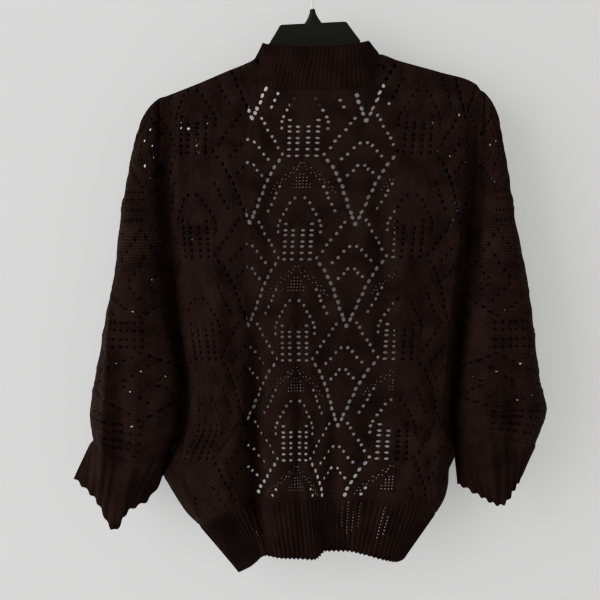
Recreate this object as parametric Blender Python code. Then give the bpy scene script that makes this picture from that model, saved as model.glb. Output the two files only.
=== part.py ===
"""A knitted lace cardigan hanging on a moulded hanger, seen from its back.

The origin is the inside top of the hanger's hook. X runs across the garment, -Y is the side that
its back faces, +Z is up. Tables and surfaces are in millimetres, and "down" is the distance below
the origin. Each cloth piece is a wall: an outer skin read from a surface of the piece, an inner
skin a wall's thickness inside it, and rims that meet the next piece at a seam.
"""

import math

import bmesh
import bpy
import numpy as np
from mathutils import Matrix, Vector
from mathutils.geometry import delaunay_2d_cdt

MM = 0.001

# Cloth
LACE_WALL = 2.0
RIB_WALL = 1.7
RIB_RELIEF = 1.1
RIB_PITCH = 7.2
BAND_RIB_PITCH = 14.4
SEAM_GAP = 0.3
HALF_GAP = SEAM_GAP / 2

# Hanger
HANGER_TILT = math.radians(2.9)
HANGER_OFF_HOOK = -3.8
ARM_END = 197.0
ARM_LINE_DOWN = 104.0
ARM_SLOPE = math.radians(19.65)
ARM_THICK = 7.2
WIRE_RADIUS = 1.6
HOOK_INNER_RADIUS = 18.0

# Cloth over an arm of the hanger rolls round at this radius
ROLL = 9.0
# The two layers of the valley beside each sleeve keep this far from the middle plane
VALLEY = 7.0
# and at the underarm this far, from where the side fold closes over a short height
UNDERARM = 3.2
SIDE_CLOSES = 16.0

# Lace repeat: 32 stitches by 32 rows, and a step is two rows
STITCH = 4.13
STEP = 7.94
REPEAT_STITCHES = 32
REPEAT_STEPS = 16
FIRST_APEX = 87.0


def columns(names, *rows):
    """A table as a dictionary of named columns."""
    return dict(zip(names.split(), np.array(rows, float).T))


def through(stops, values, at):
    """Smooth values between the rows of a table without overshoot, one column or a stack of them."""
    stops = np.asarray(stops, float)
    values = np.asarray(values, float)
    at = np.clip(np.asarray(at, float), stops[0], stops[-1])
    if values.ndim == 1:
        values = np.repeat(values[:, None], at.size, axis=1)
    gap = np.diff(stops)[:, None]
    rate = np.diff(values, axis=0) / gap
    slope = np.concatenate([rate[:1], np.zeros_like(rate[1:]), rate[-1:]])
    same = rate[:-1] * rate[1:] > 0
    heavy, light = 2 * gap[1:] + gap[:-1], gap[1:] + 2 * gap[:-1]
    safe_low = np.where(same, rate[:-1], 1)
    safe_high = np.where(same, rate[1:], 1)
    mean = (heavy + light) / (heavy / safe_low + light / safe_high)
    slope[1:-1] = np.where(same, mean, 0)
    row = np.clip(np.searchsorted(stops, at, side="right") - 1, 0, len(stops) - 2)
    each = np.arange(at.size)
    width = gap[row, 0]
    s = (at - stops[row]) / width
    low, high = values[row, each], values[row + 1, each]
    low_slope, high_slope = slope[row, each] * width, slope[row + 1, each] * width
    return (
        low * (1 + 2 * s) * (1 - s) ** 2
        + high * (3 - 2 * s) * s**2
        + low_slope * s * (1 - s) ** 2
        - high_slope * (1 - s) * s**2
    )


def ease(share):
    share = np.clip(share, 0, 1)
    return share * share * (3 - 2 * share)


def round_edge(distance, radius):
    """How far a rolled edge has reached at a distance in from it, as a share of its radius."""
    share = np.clip(np.asarray(distance, float) / radius, 0, 1)
    return np.sqrt(1 - (1 - share) ** 2)


# ---------------------------------------------------------------- the garment's outline

SHOULDER = columns(
    "x down",
    (-188, 172), (-147, 156), (-112, 141), (-77, 126), (-71, 122), (-66, 140), (-59, 158),
    (-48, 165), (5, 166), (60, 165), (71, 158), (77, 137), (82.5, 118), (107, 126), (161, 141),
    (207, 156), (213, 164),
)
NECK_LEFT, NECK_RIGHT = -71.0, 82.5

# Each side: the armhole in its valley, and below the armhole the fold at the body's side
SIDE = {
    "left": columns(
        "down x",
        (172, -188), (220, -187), (279, -187), (325, -184), (401, -178), (447, -175), (490, -169),
        (532, -163), (584, -163), (624, -178), (640, -179), (654, -183), (675, -176.5), (700, -160),
        (714, -146),
    ),
    "right": columns(
        "down x",
        (164, 213), (220, 209), (279, 206), (325, 202), (399, 194), (446, 188), (490, 184),
        (535, 180), (570, 177), (596, 177), (612, 175), (624, 174), (652, 172), (675, 169),
        (685, 165), (698, 157),
    ),
}
ARMHOLE_TOP = {"left": 172.0, "right": 164.0}
ARMHOLE_END = {"left": 624.0, "right": 596.0}
BODY_END = {"left": 714.0, "right": 698.0}


def side_x(side, down):
    return through(SIDE[side]["down"], SIDE[side]["x"], down)


def valley_depth(side, down):
    """How far each layer lies from the middle plane at the armhole and at the side fold."""
    narrowing = ease((down - ARMHOLE_END[side] + 70) / 70)
    closing = ease((down - ARMHOLE_END[side]) / SIDE_CLOSES)
    low = VALLEY + (UNDERARM - VALLEY) * narrowing
    low = low + (HALF_GAP - low) * closing
    return np.maximum(low * round_edge(down - ARMHOLE_TOP[side], VALLEY), HALF_GAP)


def armhole_stations(side):
    """Heights at which the armhole's two edges have their points."""
    top, end = ARMHOLE_TOP[side], ARMHOLE_END[side]
    return np.concatenate([top + np.array([0, 1.5, 5, 12]), np.linspace(top + 30, end, 20)])


# ---------------------------------------------------------------- the back

# Lines of the lace down the back: a line of nodes, the ladders' axis and the next ones
BACK_LINES = columns(
    "down node_left axis node_right axis_right",
    (120, -75, -10, 75, 143),
    (199, -77, -12, 67, 135),
    (326, -79, -18, 53, 121),
    (458, -80, -24, 41, 108),
    (578, -83, -22, 30.5, 100),
    (714, -86, -22, 20, 90),
)
# Places of the lines along the cloth, from the left side
ACROSS = np.array([0.0, 20, 42, 117, 183, 249, 315, 368, 390, 410])
BACK_CLOTH = 410.0
LACE_AXIS = 183.0
FLANK_NEAR, FLANK_FAR = 12.0, 28.0

BACK_HEM = columns(
    "x down",
    (-146, 714), (-112, 697), (-86, 688), (-61, 681), (9, 677), (60, 678), (104, 682), (136, 688),
    (157, 698),
)
BACK_DEPTH = columns(
    "down depth",
    (120, 9.5), (172, 12), (220, 19), (280, 26), (350, 32), (420, 35), (490, 38), (550, 40),
    (624, 39), (675, 35), (714, 28),
)
CROWN = 4.0
NECK_DEPTH = 17.0

# Folds: a line down the cloth, its half width and how far it stands out (+) or in (-)
BACK_FOLDS = columns(
    "x_top down_top x_low down_low half_width out",
    (-72, 470, -75, 760, 13, -17),
    (-28, 420, -28, 760, 36, 9),
    (-18, 380, -19, 760, 6, -5),
    (24, 520, 24, 760, 9, -8),
    (74, 480, 62, 760, 16, -4),
    (150, 560, 158, 720, 7, 6),
    (-128, 260, -112, 640, 15, 4),
    (122, 240, 128, 620, 16, 4),
    (-38, 190, -60, 420, 12, -3),
    (95, 200, 84, 470, 12, -3),
)


def folds(table, x, down):
    """What the folds of a table add, fading in from their top ends."""
    total = np.zeros_like(x)
    for top_x, top, low_x, low, half, out in zip(*table.values()):
        along = np.clip((down - top) / (low - top), 0, 1)
        line = top_x + (low_x - top_x) * along
        total += out * ease(along * 2.2) * np.exp(-(((x - line) / half) ** 2))
    return total


def back_x(across, down):
    left, right = side_x("left", down), side_x("right", down)
    lines = [through(BACK_LINES["down"], BACK_LINES[name], down) for name in list(BACK_LINES)[1:]]
    low = [left, left + FLANK_NEAR, left + FLANK_FAR]
    high = [right - FLANK_FAR, right - FLANK_NEAR, right]
    return through(ACROSS, np.array(low + lines + high), across)


def level_of(outline, column_x, across, first):
    """Where each column of a piece meets an outline given as x and down."""
    down = np.full(across.shape, float(first))
    for _ in range(12):
        down = through(outline["x"], outline["down"], column_x(across, down))
    return down


def on_shoulder(x):
    """1 where the edge lies over the hanger's arms, 0 round the neck."""
    return np.maximum(ease((NECK_LEFT + 3 - x) / 12), ease((x - NECK_RIGHT + 3) / 12))


def back_surface(u, v):
    """The back's outer skin: u across from the left side, v from the top edge to the hem's seam."""
    across = u * BACK_CLOTH
    top = level_of(SHOULDER, back_x, across, 150)
    low = level_of(BACK_HEM, back_x, across, 690)
    rolled = on_shoulder(back_x(across, top))
    length = low - top + rolled * ROLL * (math.pi / 2 - 1)
    along = v * length
    turn = np.minimum(along / ROLL, math.pi / 2)
    rolled_drop = ROLL * (1 - np.cos(turn)) + np.maximum(along - ROLL * math.pi / 2, 0)
    down = top + rolled * rolled_drop + (1 - rolled) * along
    down = np.where(v >= 1, low, down)
    x = back_x(across, down)
    neck = NECK_DEPTH * round_edge(np.minimum(x - NECK_LEFT, NECK_RIGHT - x), 22)
    reach = np.maximum(ROLL * round_edge(down - top, ROLL), neck)
    left, right = side_x("left", down), side_x("right", down)
    crown = CROWN * (1 - ((2 * x - left - right) / (right - left)) ** 2)
    full = through(BACK_DEPTH["down"], BACK_DEPTH["depth"], down) + crown
    settled = ease((down - top) / 90)
    depth = reach + (full - reach) * settled
    depth = depth + folds(BACK_FOLDS, x, down) * settled
    for side, near in (("left", x - left), ("right", right - x)):
        floor = np.minimum(valley_depth(side, down), np.maximum(reach, HALF_GAP))
        floor = np.where(down > top + ROLL, valley_depth(side, down), floor)
        below = ease((down - ARMHOLE_END[side]) / 30)
        wide = 20 + 6 * below
        rise = (1 - below) * ease(near / wide) + below * round_edge(near, wide)
        depth = floor + (depth - floor) * rise
    return np.stack([x, -np.maximum(depth, HALF_GAP), -down], axis=1)


# ---------------------------------------------------------------- the sleeves

# From the shoulder to the cuff's seam: the overarm edge, the armhole's height, the inner edge that
# hangs over the valley, the depths of the sleeve's back and front, and how far a row sags
SLEEVE = {
    "left": columns(
        "over_x over_down arm_down inner_x back front sag",
        (-218, 202, 172, -196, 12, 11, -7),
        (-227, 232, 220, -195, 17, 14, -3),
        (-236, 278, 279, -196, 28, 20, 0),
        (-244, 325, 325, -194, 35, 24, 0),
        (-252, 401, 401, -188, 42, 28, 2),
        (-262, 447, 447, -182, 44, 29, 3),
        (-269, 490, 490, -175, 46, 30, 3),
        (-277, 532, 532, -169, 47, 31, 4),
        (-283, 574, 584, -171, 44, 30, 7),
        (-279, 608, 624, -186, 35, 27, 13),
    ),
    "right": columns(
        "over_x over_down arm_down inner_x back front sag",
        (236, 199, 164, 218, 12, 11, -7),
        (241, 232, 220, 217, 17, 14, -3),
        (248, 273, 279, 216, 28, 20, 0),
        (255, 324, 325, 212, 35, 24, 0),
        (269, 394, 399, 204, 42, 28, 1),
        (277, 446, 446, 195, 44, 29, 2),
        (282, 490, 490, 190, 46, 30, 2),
        (288, 535, 535, 186, 47, 31, 0),
        (296, 568, 570, 181, 45, 30, -2),
        (282, 612, 596, 181, 36, 27, -3),
    ),
}
CUFF_OFF_SIDE = 1.8
SLEEVE_CLOTH = 122.0
SLEEVE_LENGTH = {"left": 425.0, "right": 425.0}
# A sleeve's section: places along the cloth, the share of its width and the share of its depth
SECTION = columns(
    "cloth wide deep",
    (0, 0, 0), (5, 0.006, 0.16), (17, 0.05, 0.5), (33, 0.16, 0.82), (47, 0.33, 0.97), (61, 0.52, 1),
    (78, 0.76, 0.95), (93, 0.95, 0.72), (106, 1.0, 0.42),
)
SLEEVE_FOLDS = {
    "left": columns(
        "x_top down_top x_low down_low half_width out",
        (-249, 395, -262, 640, 9, 7),
        (-236, 470, -241, 640, 9, -4),
        (-213, 330, -222, 600, 12, 3),
    ),
    "right": columns(
        "x_top down_top x_low down_low half_width out",
        (246, 520, 247, 612, 10, -9),
        (222, 300, 214, 600, 12, 3),
        (262, 380, 276, 600, 12, 4),
    ),
}
AWAY = {"left": 1.0, "right": -1.0}


def sleeve_surface(side, face, u, v):
    """A sleeve's outer skin: u from the overarm edge to the armhole, v from shoulder to cuff."""
    table = SLEEVE[side]
    place = v * (len(table["sag"]) - 1)
    row = np.arange(len(table["sag"]))
    over_x, over_down, arm_down, inner_x, back, front, sag = (
        through(row, column, place) for column in table.values()
    )
    # the sleeve's lower end stands off the body's side a little
    arm_x = side_x(side, arm_down) - AWAY[side] * CUFF_OFF_SIDE * ease(place - row[-2])
    floor = np.maximum(valley_depth(side, arm_down), HALF_GAP)
    depth = np.where(face < 0, back, front)
    width = inner_x - over_x
    cloth = u * SLEEVE_CLOTH
    stops = np.append(SECTION["cloth"], (SLEEVE_CLOTH - 4, SLEEVE_CLOTH))
    last_x = [0.25 * inner_x + 0.75 * arm_x, arm_x]
    wide = [over_x + width * share for share in SECTION["wide"]]
    deep = [depth * share for share in SECTION["deep"]]
    x = through(stops, np.array(wide + last_x), cloth)
    y = through(stops, np.array(deep + [floor + 0.6, floor]), cloth)
    share = np.clip((x - over_x) / (arm_x - over_x), 0, 1)
    down = over_down + (arm_down - over_down) * share + sag * 4 * share * (1 - share)
    if face < 0:
        y = y + folds(SLEEVE_FOLDS[side], x, down) * np.sin(math.pi * np.clip(u * 1.1, 0, 1)) ** 0.5
    fallen = place * 40
    y = y * round_edge(fallen, 12)
    floor_here = np.minimum(floor, np.maximum(y, HALF_GAP))
    y = np.where(u >= 1, floor_here, y)
    y = np.where(u >= 1, valley_depth(side, down), y)
    return np.stack([x, face * np.maximum(y, HALF_GAP), -down], axis=1)


# ---------------------------------------------------------------- the fronts and their bands

# The band's seam on the front, and the band's free edge
BAND = {
    "left": columns(
        "seam_x seam_down seam_y free_x free_down free_y",
        (-71, 122, 0.15, -63, 105, 0.3),
        (-77, 129, 4.5, -59.5, 104, 20),
        (-84, 137, 7.5, -56, 112, 34),
        (-95, 151, 9.5, -62, 130, 36),
        (-121, 189, 13, -79, 160, 31),
        (-136, 234, 16, -86, 205, 28),
        (-142, 278, 18, -87, 265, 27),
        (-143, 329, 20, -87, 325, 27),
        (-143, 450, 24, -86, 450, 30),
        (-140, 560, 24, -86, 560, 34),
        (-134, 640, 20, -86, 640, 38),
        (-126, 704, 12, -87, 704, 44),
        (-99, 746, 6, -83, 750, 46),
    ),
    "right": columns(
        "seam_x seam_down seam_y free_x free_down free_y",
        (82.5, 118, 0.15, 70.5, 102.5, 0.3),
        (88, 125, 5, 67, 102, 20),
        (95, 135, 8.5, 66, 110, 34),
        (105, 151, 9.5, 76, 130, 36),
        (133, 189, 13, 98, 160, 31),
        (151, 234, 16, 107, 205, 28),
        (161, 278, 18, 107, 265, 27),
        (164, 329, 20, 107, 325, 27),
        (160, 450, 24, 107, 450, 30),
        (152, 560, 24, 107, 560, 34),
        (145, 630, 20, 107, 630, 38),
        (137, 690, 12, 107, 692, 44),
        (111, 735, 6, 101, 740, 46),
    ),
}
FRONT_END = {"left": 704.0, "right": 690.0}
FRONT_BULGE = 6.0
FRONT_CLOTH = 70.0


def band_seam(side, down):
    table = BAND[side]
    x = through(table["seam_down"], table["seam_x"], down)
    return x, through(table["seam_down"], table["seam_y"], down)


def front_x(side):
    def column_x(share, down):
        return side_x(side, down) * (1 - share) + band_seam(side, down)[0] * share

    return column_x


def front_surface(side, u, v):
    """A front's outer skin: u from the side to the band's seam, v from the top edge to the hem."""
    column_x = front_x(side)
    top = level_of(SHOULDER, column_x, np.clip(u, 0, 0.999), 160)
    top = np.where(u >= 1, BAND[side]["seam_down"][0], top)
    low = BODY_END[side] + (FRONT_END[side] - BODY_END[side]) * u
    length = low - top + ROLL * (math.pi / 2 - 1)
    along = v * length
    turn = np.minimum(along / ROLL, math.pi / 2)
    down = top + ROLL * (1 - np.cos(turn)) + np.maximum(along - ROLL * math.pi / 2, 0)
    down = np.where(v >= 1, low, down)
    x = column_x(u, down)
    edge = band_seam(side, down)[1]
    floor = valley_depth(side, down)
    reach = ROLL * round_edge(down - top, ROLL)
    below = ease((down - ARMHOLE_END[side]) / 30)
    rise = (1 - below) * ease(u / 0.55) + below * round_edge(u, 0.6)
    y = floor + (edge - floor) * rise + FRONT_BULGE * np.sin(math.pi * u) * ease((down - 160) / 90)
    y = reach + (y - reach) * ease((down - top) / 60)
    y = np.maximum(y, reach * ease(8 * u))
    y = np.where(u <= 0, floor, y)
    y = np.where(u >= 1, edge, y)
    return np.stack([x, np.maximum(y, HALF_GAP), -down], axis=1)


def band_surface(side, u, v):
    """A band's outer skin: u from its seam to its free edge, v from the neck to the hem."""
    table = BAND[side]
    row = np.arange(len(table["seam_x"]))
    place = v * row[-1]
    values = [through(row, column, place) for column in table.values()]
    seam_x, seam_down, seam_y, free_x, free_down, free_y = values
    # the seam's edge follows the front's own line
    seam_x, seam_y = band_seam(side, seam_down)
    bulge = 5 * np.sin(math.pi * u) * (0.3 + 0.7 * np.sin(math.pi * np.clip(v * 1.3, 0, 1)))
    x = seam_x + (free_x - seam_x) * u
    y = seam_y + (free_y - seam_y) * u + bulge
    down = seam_down + (free_down - seam_down) * u
    return np.stack([x, y, -down], axis=1)


# ---------------------------------------------------------------- collar, hem and cuffs

# The collar's top edge, at places along the back's cloth
COLLAR_TOP = columns(
    "share x down y",
    (0, -63, 105, -0.8), (0.06, -62.5, 106, -10), (0.14, -54, 110, -19), (0.32, -24, 113, -22.5),
    (0.5, 4, 113.5, -23), (0.68, 34, 112, -22.5), (0.86, 61, 107, -19), (0.94, 69, 103.5, -10),
    (1, 70.5, 102.5, -0.8),
)

HEM_EDGE = columns(
    "cloth x down y",
    (0, -93, 775, 0.15), (22, -88, 771, 9), (50, -80, 766, 14), (85, -71, 759, 15),
    (108, -64, 752, 20), (124, -58, 748, 34), (150, -40, 750, 40), (181, -18, 751.5, 36),
    (205, 0, 752, 39), (222, 8, 748, 36), (235, 14, 743.5, 28), (270, 40, 743.5, 27),
    (300, 62, 747.5, 29), (340, 92, 756, 26), (375, 106, 758, 17), (398, 113, 757, 8),
    (410, 116, 755, 0.15),
)
# The cuffs' openings, round from the overarm edge over the back and home over the front
CUFF_EDGE = {
    "left": columns(
        "turn x down y",
        (0, -303.5, 656.6, 0), (0.12, -273, 680, -20), (0.25, -248, 717.6, -27),
        (0.33, -232, 695, -24), (0.42, -207, 681, -17), (0.5, -190, 652, 0),
        (0.62, -213, 672, 17), (0.75, -243, 694, 25), (0.88, -274, 682, 18),
        (1, -303.5, 656.6, 0),
    ),
    "right": columns(
        "turn x down y",
        (0, 269, 641, 0), (0.12, 254, 664, -18), (0.25, 234, 687, -26), (0.38, 207, 675, -20),
        (0.5, 185, 663, 0), (0.62, 208, 672, 17), (0.75, 236, 677, 25), (0.88, 256, 660, 18),
        (1, 269, 641, 0),
    ),
}
CUFF_GATHERS = {"left": 7, "right": 9}
GATHER_DEPTH = 2.2


def along_line(points, share):
    """Points at shares of a line's own corners, straight between them."""
    place = np.clip(share, 0, 1) * (len(points) - 1)
    row = np.minimum(place.astype(int), len(points) - 2)
    part = (place - row)[:, None]
    return points[row] * (1 - part) + points[row + 1] * part


def neck_places():
    """Where the neck's two corners lie across the back, as shares of its width."""
    u = np.linspace(0, 1, 2001)
    x = back_surface(u, np.zeros_like(u))[:, 0]
    return np.interp(NECK_LEFT, x, u), np.interp(NECK_RIGHT, x, u)


# ---------------------------------------------------------------- lace

def lace_holes(width, height, phase_u, phase_v, keep_from_edge=7.0):
    """Centres and slants of the largest eyelets of each repeat, in the cloth's own plane.

    The pattern is an ogee: from the apex of an arch two lines of eyelets step outwards, a stitch
    each two rows, and meet the next arch's lines at a node. Every other eyelet of a line is cut.
    """
    half = REPEAT_STITCHES / 2 * STITCH
    period = REPEAT_STEPS * STEP
    holes = []
    for row in range(-2, int(height / period) + 3):
        for turn in range(-4, int(width / (2 * half)) + 4):
            axis = phase_u + turn * 2 * half
            apex = phase_v + row * period
            for step in (0, 2, 4, 6, 8):
                for sign in (-1, 1):
                    reach = (6 + step * 1.12) * STITCH
                    holes.append((axis + sign * reach, apex + step * STEP, sign * 0.48))
            holes.append((axis + half, apex + 9.5 * STEP, 0.0))
    kept = []
    for x, y, slant in holes:
        inside = keep_from_edge < x < width - keep_from_edge
        if inside and keep_from_edge < y < height - keep_from_edge:
            kept.append((x, y, slant))
    return kept


HOLE_LONG, HOLE_SHORT = 6.6, 4.8


def hole_corners(hole, count=6):
    """Corners of an eyelet, longer along its line."""
    x, y, slant = hole
    turns = 2 * np.pi * (np.arange(count) + count / 4) / count
    across, along = np.cos(turns) * HOLE_SHORT / 2, np.sin(turns) * HOLE_LONG / 2
    return [
        (x + a * math.cos(slant) + b * math.sin(slant), y + b * math.cos(slant) - a * math.sin(slant))
        for a, b in zip(across, along)
    ]


# ---------------------------------------------------------------- building a wall

def grid_points(width, height, spacing, holes, clear, lines_u=(), lines_v=()):
    """Staggered points over a panel, clear of its edges and of its holes."""
    points = []
    rows = max(int(round(height / spacing)), 2)
    cols = max(int(round(width / spacing)), 1)
    for j in range(1, rows):
        shift = 0.25 if j % 2 else -0.25
        for i in range(cols):
            points.append(((i + 0.5 + shift) * width / cols, j * height / rows))
    for line in lines_u:
        count = int(height / spacing)
        points += [(line, (j + 0.5) * height / count) for j in range(count)]
    for line in lines_v:
        count = max(int(width / spacing), 2)
        points += [((i + 0.5) * width / count, line) for i in range(count)]
    centres = np.array([hole[:2] for hole in holes]) if holes else np.empty((0, 2))
    kept = []
    for x, y in points:
        near_hole = len(centres) and np.min(np.hypot(*(centres - (x, y)).T)) < clear
        near_point = any(abs(x - a) + abs(y - b) < spacing * 0.35 for a, b in kept)
        if not near_hole and not near_point:
            kept.append((x, y))
    return kept


def triangulated(points, loops):
    """Triangles over points in a plane, with the loops of holes left empty."""
    edges = [(a, b) for loop in loops for a, b in zip(loop, loop[1:] + loop[:1])]
    flat = [Vector(point) for point in points]
    found = delaunay_2d_cdt(flat, edges, [], 0, 1e-7, True)
    origin = [same[0] if same else None for same in found[3]]
    owner = {index: n for n, loop in enumerate(loops) for index in loop}
    triangles = []
    for face in found[2]:
        corners = [origin[index] for index in face]
        owners = {owner.get(index) for index in corners}
        if len(owners) == 1 and None not in owners:
            continue
        a, b, c = (points[index] for index in corners)
        area = (b[0] - a[0]) * (c[1] - a[1]) - (b[1] - a[1]) * (c[0] - a[0])
        if abs(area) < 1e-6:
            continue
        triangles.append(corners if area > 0 else corners[::-1])
    return triangles


def normals_of(surface, u, v, outward):
    """Outward unit normals of a surface, from small steps inside its edges."""
    step = 0.002
    u_low, u_high = np.clip(u - step, 0, 1), np.clip(u + step, 0, 1)
    v_low, v_high = np.clip(v - step, 0, 1), np.clip(v + step, 0, 1)
    across = surface(u_high, v) - surface(u_low, v)
    along = surface(u, v_high) - surface(u, v_low)
    normal = np.cross(across, along) * outward
    return normal / np.maximum(np.linalg.norm(normal, axis=1, keepdims=True), 1e-9)


AXES = {"x": 0, "y": 1, "z": 2}


def side_rim(side, face):
    """Across the armhole's valley a rim runs through the layer, and along the side fold across it."""

    def direction(point):
        if -point[2] <= ARMHOLE_END[side] + 0.5:
            rolled = round_edge(-point[2] - ARMHOLE_TOP[side], VALLEY)
            return np.array([0, face * float(rolled), 1.001 - float(rolled)])
        return np.array([-AWAY[side], 0, 0])

    return direction


def band_rim(point):
    """At the neck's corner the rim runs down, and from there on through the layer."""
    share = min(float(abs(point[1])) / 8, 1) if point[2] > -160 else 1.0
    return np.array([0, share, 1.001 - share])


def through_layer(point):
    """A rim that runs straight through a front layer."""
    return np.array([0, 1.0, 0])


def back_top_rim(point):
    """Over the shoulders the rim runs down, and behind the neck through the layer."""
    share = min(float(abs(point[1])) / 8, 1)
    return np.array([0, -share, 1.001 - share])


def wall(name, surface, size, edges, inside, holes, thick, outward, rims, shifts=None, relief=None,
         closed=False, hole_sides=6):
    """A cloth wall as a mesh object.

    size: width and height of the cloth; edges: shares at which each side has its points, as
    (u_low, u_high, v_low, v_high); rims: for each side the axis along which its rim must not
    lean, or a rule that gives the rim's outward direction at a point; shifts: for each side the
    small move that leaves half a seam's gap.
    """
    width, height = size
    side_shares = dict(zip(("u0", "u1", "v0", "v1"), edges))
    boundary = []
    boundary += [(s, 0.0, "v0") for s in side_shares["v0"]]
    boundary += [(1.0, s, "u1") for s in side_shares["u1"][1:-1]]
    boundary += [(s, 1.0, "v1") for s in side_shares["v1"][::-1]]
    boundary += [(0.0, s, "u0") for s in side_shares["u0"][1:-1][::-1]]
    points = [(u * width, v * height) for u, v, _ in boundary]
    loops = []
    for hole in holes:
        start = len(points)
        points += hole_corners(hole, hole_sides)
        loops.append(list(range(start, start + hole_sides)))
    points += inside
    flat = np.array(points)
    u, v = np.clip(flat[:, 0] / width, 0, 1), np.clip(flat[:, 1] / height, 0, 1)
    place = surface(u, v)
    normal = normals_of(surface, u, v, outward)
    if closed:
        for seam in (0, 1):
            same = np.isclose(u, 1 - seam)
            opposite = normals_of(surface, np.full(same.sum(), float(seam)), v[same], outward)
            normal[same] = normal[same] + opposite
        normal /= np.linalg.norm(normal, axis=1, keepdims=True)
    for index, (share_u, share_v, _) in enumerate(boundary):
        on = {"u0": share_u == 0, "u1": share_u == 1, "v0": share_v == 0, "v1": share_v == 1}
        for which, rule in rims.items():
            if not on[which]:
                continue
            if callable(rule):
                normal[index] = rule(place[index])
            else:
                normal[index, AXES[rule]] = 0
        normal[index] /= max(np.linalg.norm(normal[index]), 1e-9)
    if shifts:
        u0, v0 = u[: len(boundary)], v[: len(boundary)]
        for which, on in (("u0", u0 == 0), ("u1", u0 == 1), ("v0", v0 == 0), ("v1", v0 == 1)):
            if which in shifts:
                place[: len(boundary)][on] += shifts[which]
    outer = place + normal * relief(u, v)[:, None] if relief else place
    inner = place - normal * thick
    faces = triangulated(points, loops)
    count = len(outer)
    verts = np.concatenate([outer, inner])
    turned = [face if outward > 0 else face[::-1] for face in faces]
    turned_in = [[i + count for i in (face[::-1] if outward > 0 else face)] for face in faces]
    rim = []
    rings = [list(range(len(boundary)))] + [loop[::-1] for loop in loops]
    for ring in rings:
        for a, b in zip(ring, ring[1:] + ring[:1]):
            if closed and boundary_both(boundary, a, b):
                continue
            quad = [b, a, a + count, b + count]
            rim.append(quad if outward > 0 else quad[::-1])
    mesh = bmesh.new()
    made = [mesh.verts.new(Vector(point) * MM) for point in verts]
    for face in turned + turned_in + rim:
        mesh.faces.new([made[i] for i in face])
    if closed:
        bmesh.ops.remove_doubles(mesh, verts=mesh.verts, dist=1e-6)
    loose = [vert for vert in mesh.verts if not vert.link_faces]
    bmesh.ops.delete(mesh, geom=loose, context="VERTS")
    bmesh.ops.triangulate(mesh, faces=mesh.faces)
    return object_of(name, mesh)


def boundary_both(boundary, a, b):
    """Whether an edge of the boundary lies on one of the two sides that a tube joins."""
    if a >= len(boundary) or b >= len(boundary):
        return False
    return boundary[a][0] == boundary[b][0] and boundary[a][0] in (0.0, 1.0)


# ---------------------------------------------------------------- objects and materials

def collection_of(name):
    made = bpy.data.collections.new(name)
    bpy.context.scene.collection.children.link(made)
    return made


def material_of(name, colour, roughness, metallic=0.0):
    made = bpy.data.materials.new(name)
    made.use_nodes = True
    shader = made.node_tree.nodes["Principled BSDF"]
    linear = [((c / 255 + 0.055) / 1.055) ** 2.4 for c in colour]
    shader.inputs["Base Color"].default_value = (*linear, 1)
    shader.inputs["Roughness"].default_value = roughness
    shader.inputs["Metallic"].default_value = metallic
    return made


def object_of(name, mesh):
    data = bpy.data.meshes.new(name)
    mesh.to_mesh(data)
    mesh.free()
    made = bpy.data.objects.new(name, data)
    PARTS.objects.link(made)
    return made


def finished(made, material):
    made.data.materials.append(material)
    made.data.shade_smooth()
    made.data.set_sharp_from_angle(angle=math.radians(40))
    return made


# ---------------------------------------------------------------- the pieces

def shares(count):
    return np.linspace(0, 1, count)


def back_shares_at(side):
    """The shares down the back's side edge that match the armhole's heights, and those below."""
    u = 0.0 if side == "left" else 1.0
    v = np.linspace(0, 1, 4001)
    down = -back_surface(np.full_like(v, u), v)[:, 2]
    armhole = np.interp(armhole_stations(side), down, v)
    below = np.interp(np.linspace(ARMHOLE_END[side], BODY_END[side], 7)[1:], down, v)
    found = np.concatenate([armhole, below])
    found[0], found[-1] = 0, 1
    return found


def front_shares_at(side):
    v = np.linspace(0, 1, 4001)
    down = -front_surface(side, np.zeros_like(v), v)[:, 2]
    armhole = np.interp(armhole_stations(side), down, v)
    below = np.interp(np.linspace(ARMHOLE_END[side], BODY_END[side], 5)[1:], down, v)
    found = np.concatenate([armhole, below])
    found[0], found[-1] = 0, 1
    return found


def sleeve_shares_at(side):
    """The shares down a sleeve that match the armhole's heights."""
    v = np.linspace(0, 1, 4001)
    arm = SLEEVE[side]["arm_down"]
    down = through(np.arange(len(arm)), arm, v * (len(arm) - 1))
    found = np.interp(armhole_stations(side), down, v)
    found[0], found[-1] = 0, 1
    return found


def band_seam_heights(side):
    table = BAND[side]["seam_down"]
    return np.concatenate([np.linspace(table[0], table[6], 10), np.linspace(table[6], table[11], 16)[1:]])


BACK_HEIGHT = 535.0


def make_back(cloth):
    left, right = back_shares_at("left"), back_shares_at("right")
    holes = lace_holes(BACK_CLOTH, BACK_HEIGHT, LACE_AXIS, FIRST_APEX)
    flanks = (10, 26, BACK_CLOTH - 26, BACK_CLOTH - 10)
    tops = (2.5, 6, 10, 16)
    inside = grid_points(BACK_CLOTH, BACK_HEIGHT, 29, holes, 13.5, flanks, tops)
    made = wall(
        "back", back_surface, (BACK_CLOTH, BACK_HEIGHT), (left, right, back_top_shares(), HEM_SHARES),
        inside, holes, LACE_WALL, -1,
        {"u0": side_rim("left", -1), "u1": side_rim("right", -1), "v1": "z",
         "v0": back_top_rim},
        {"u0": (HALF_GAP, 0, 0), "u1": (-HALF_GAP, 0, 0), "v1": (0, 0, HALF_GAP)},
    )
    return finished(made, cloth)


def back_top_shares():
    low, high = neck_places()
    return np.concatenate([
        np.linspace(0, low, 9)[:-1], low + (high - low) * NECK_SHARES, np.linspace(high, 1, 9)[1:],
    ])


NECK_SHARES = np.concatenate([
    [0, 0.008, 0.02, 0.042], np.linspace(0.075, 0.925, 19), [0.958, 0.98, 0.992, 1],
])
HEM_SHARES = np.linspace(0, 1, 32)


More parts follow.
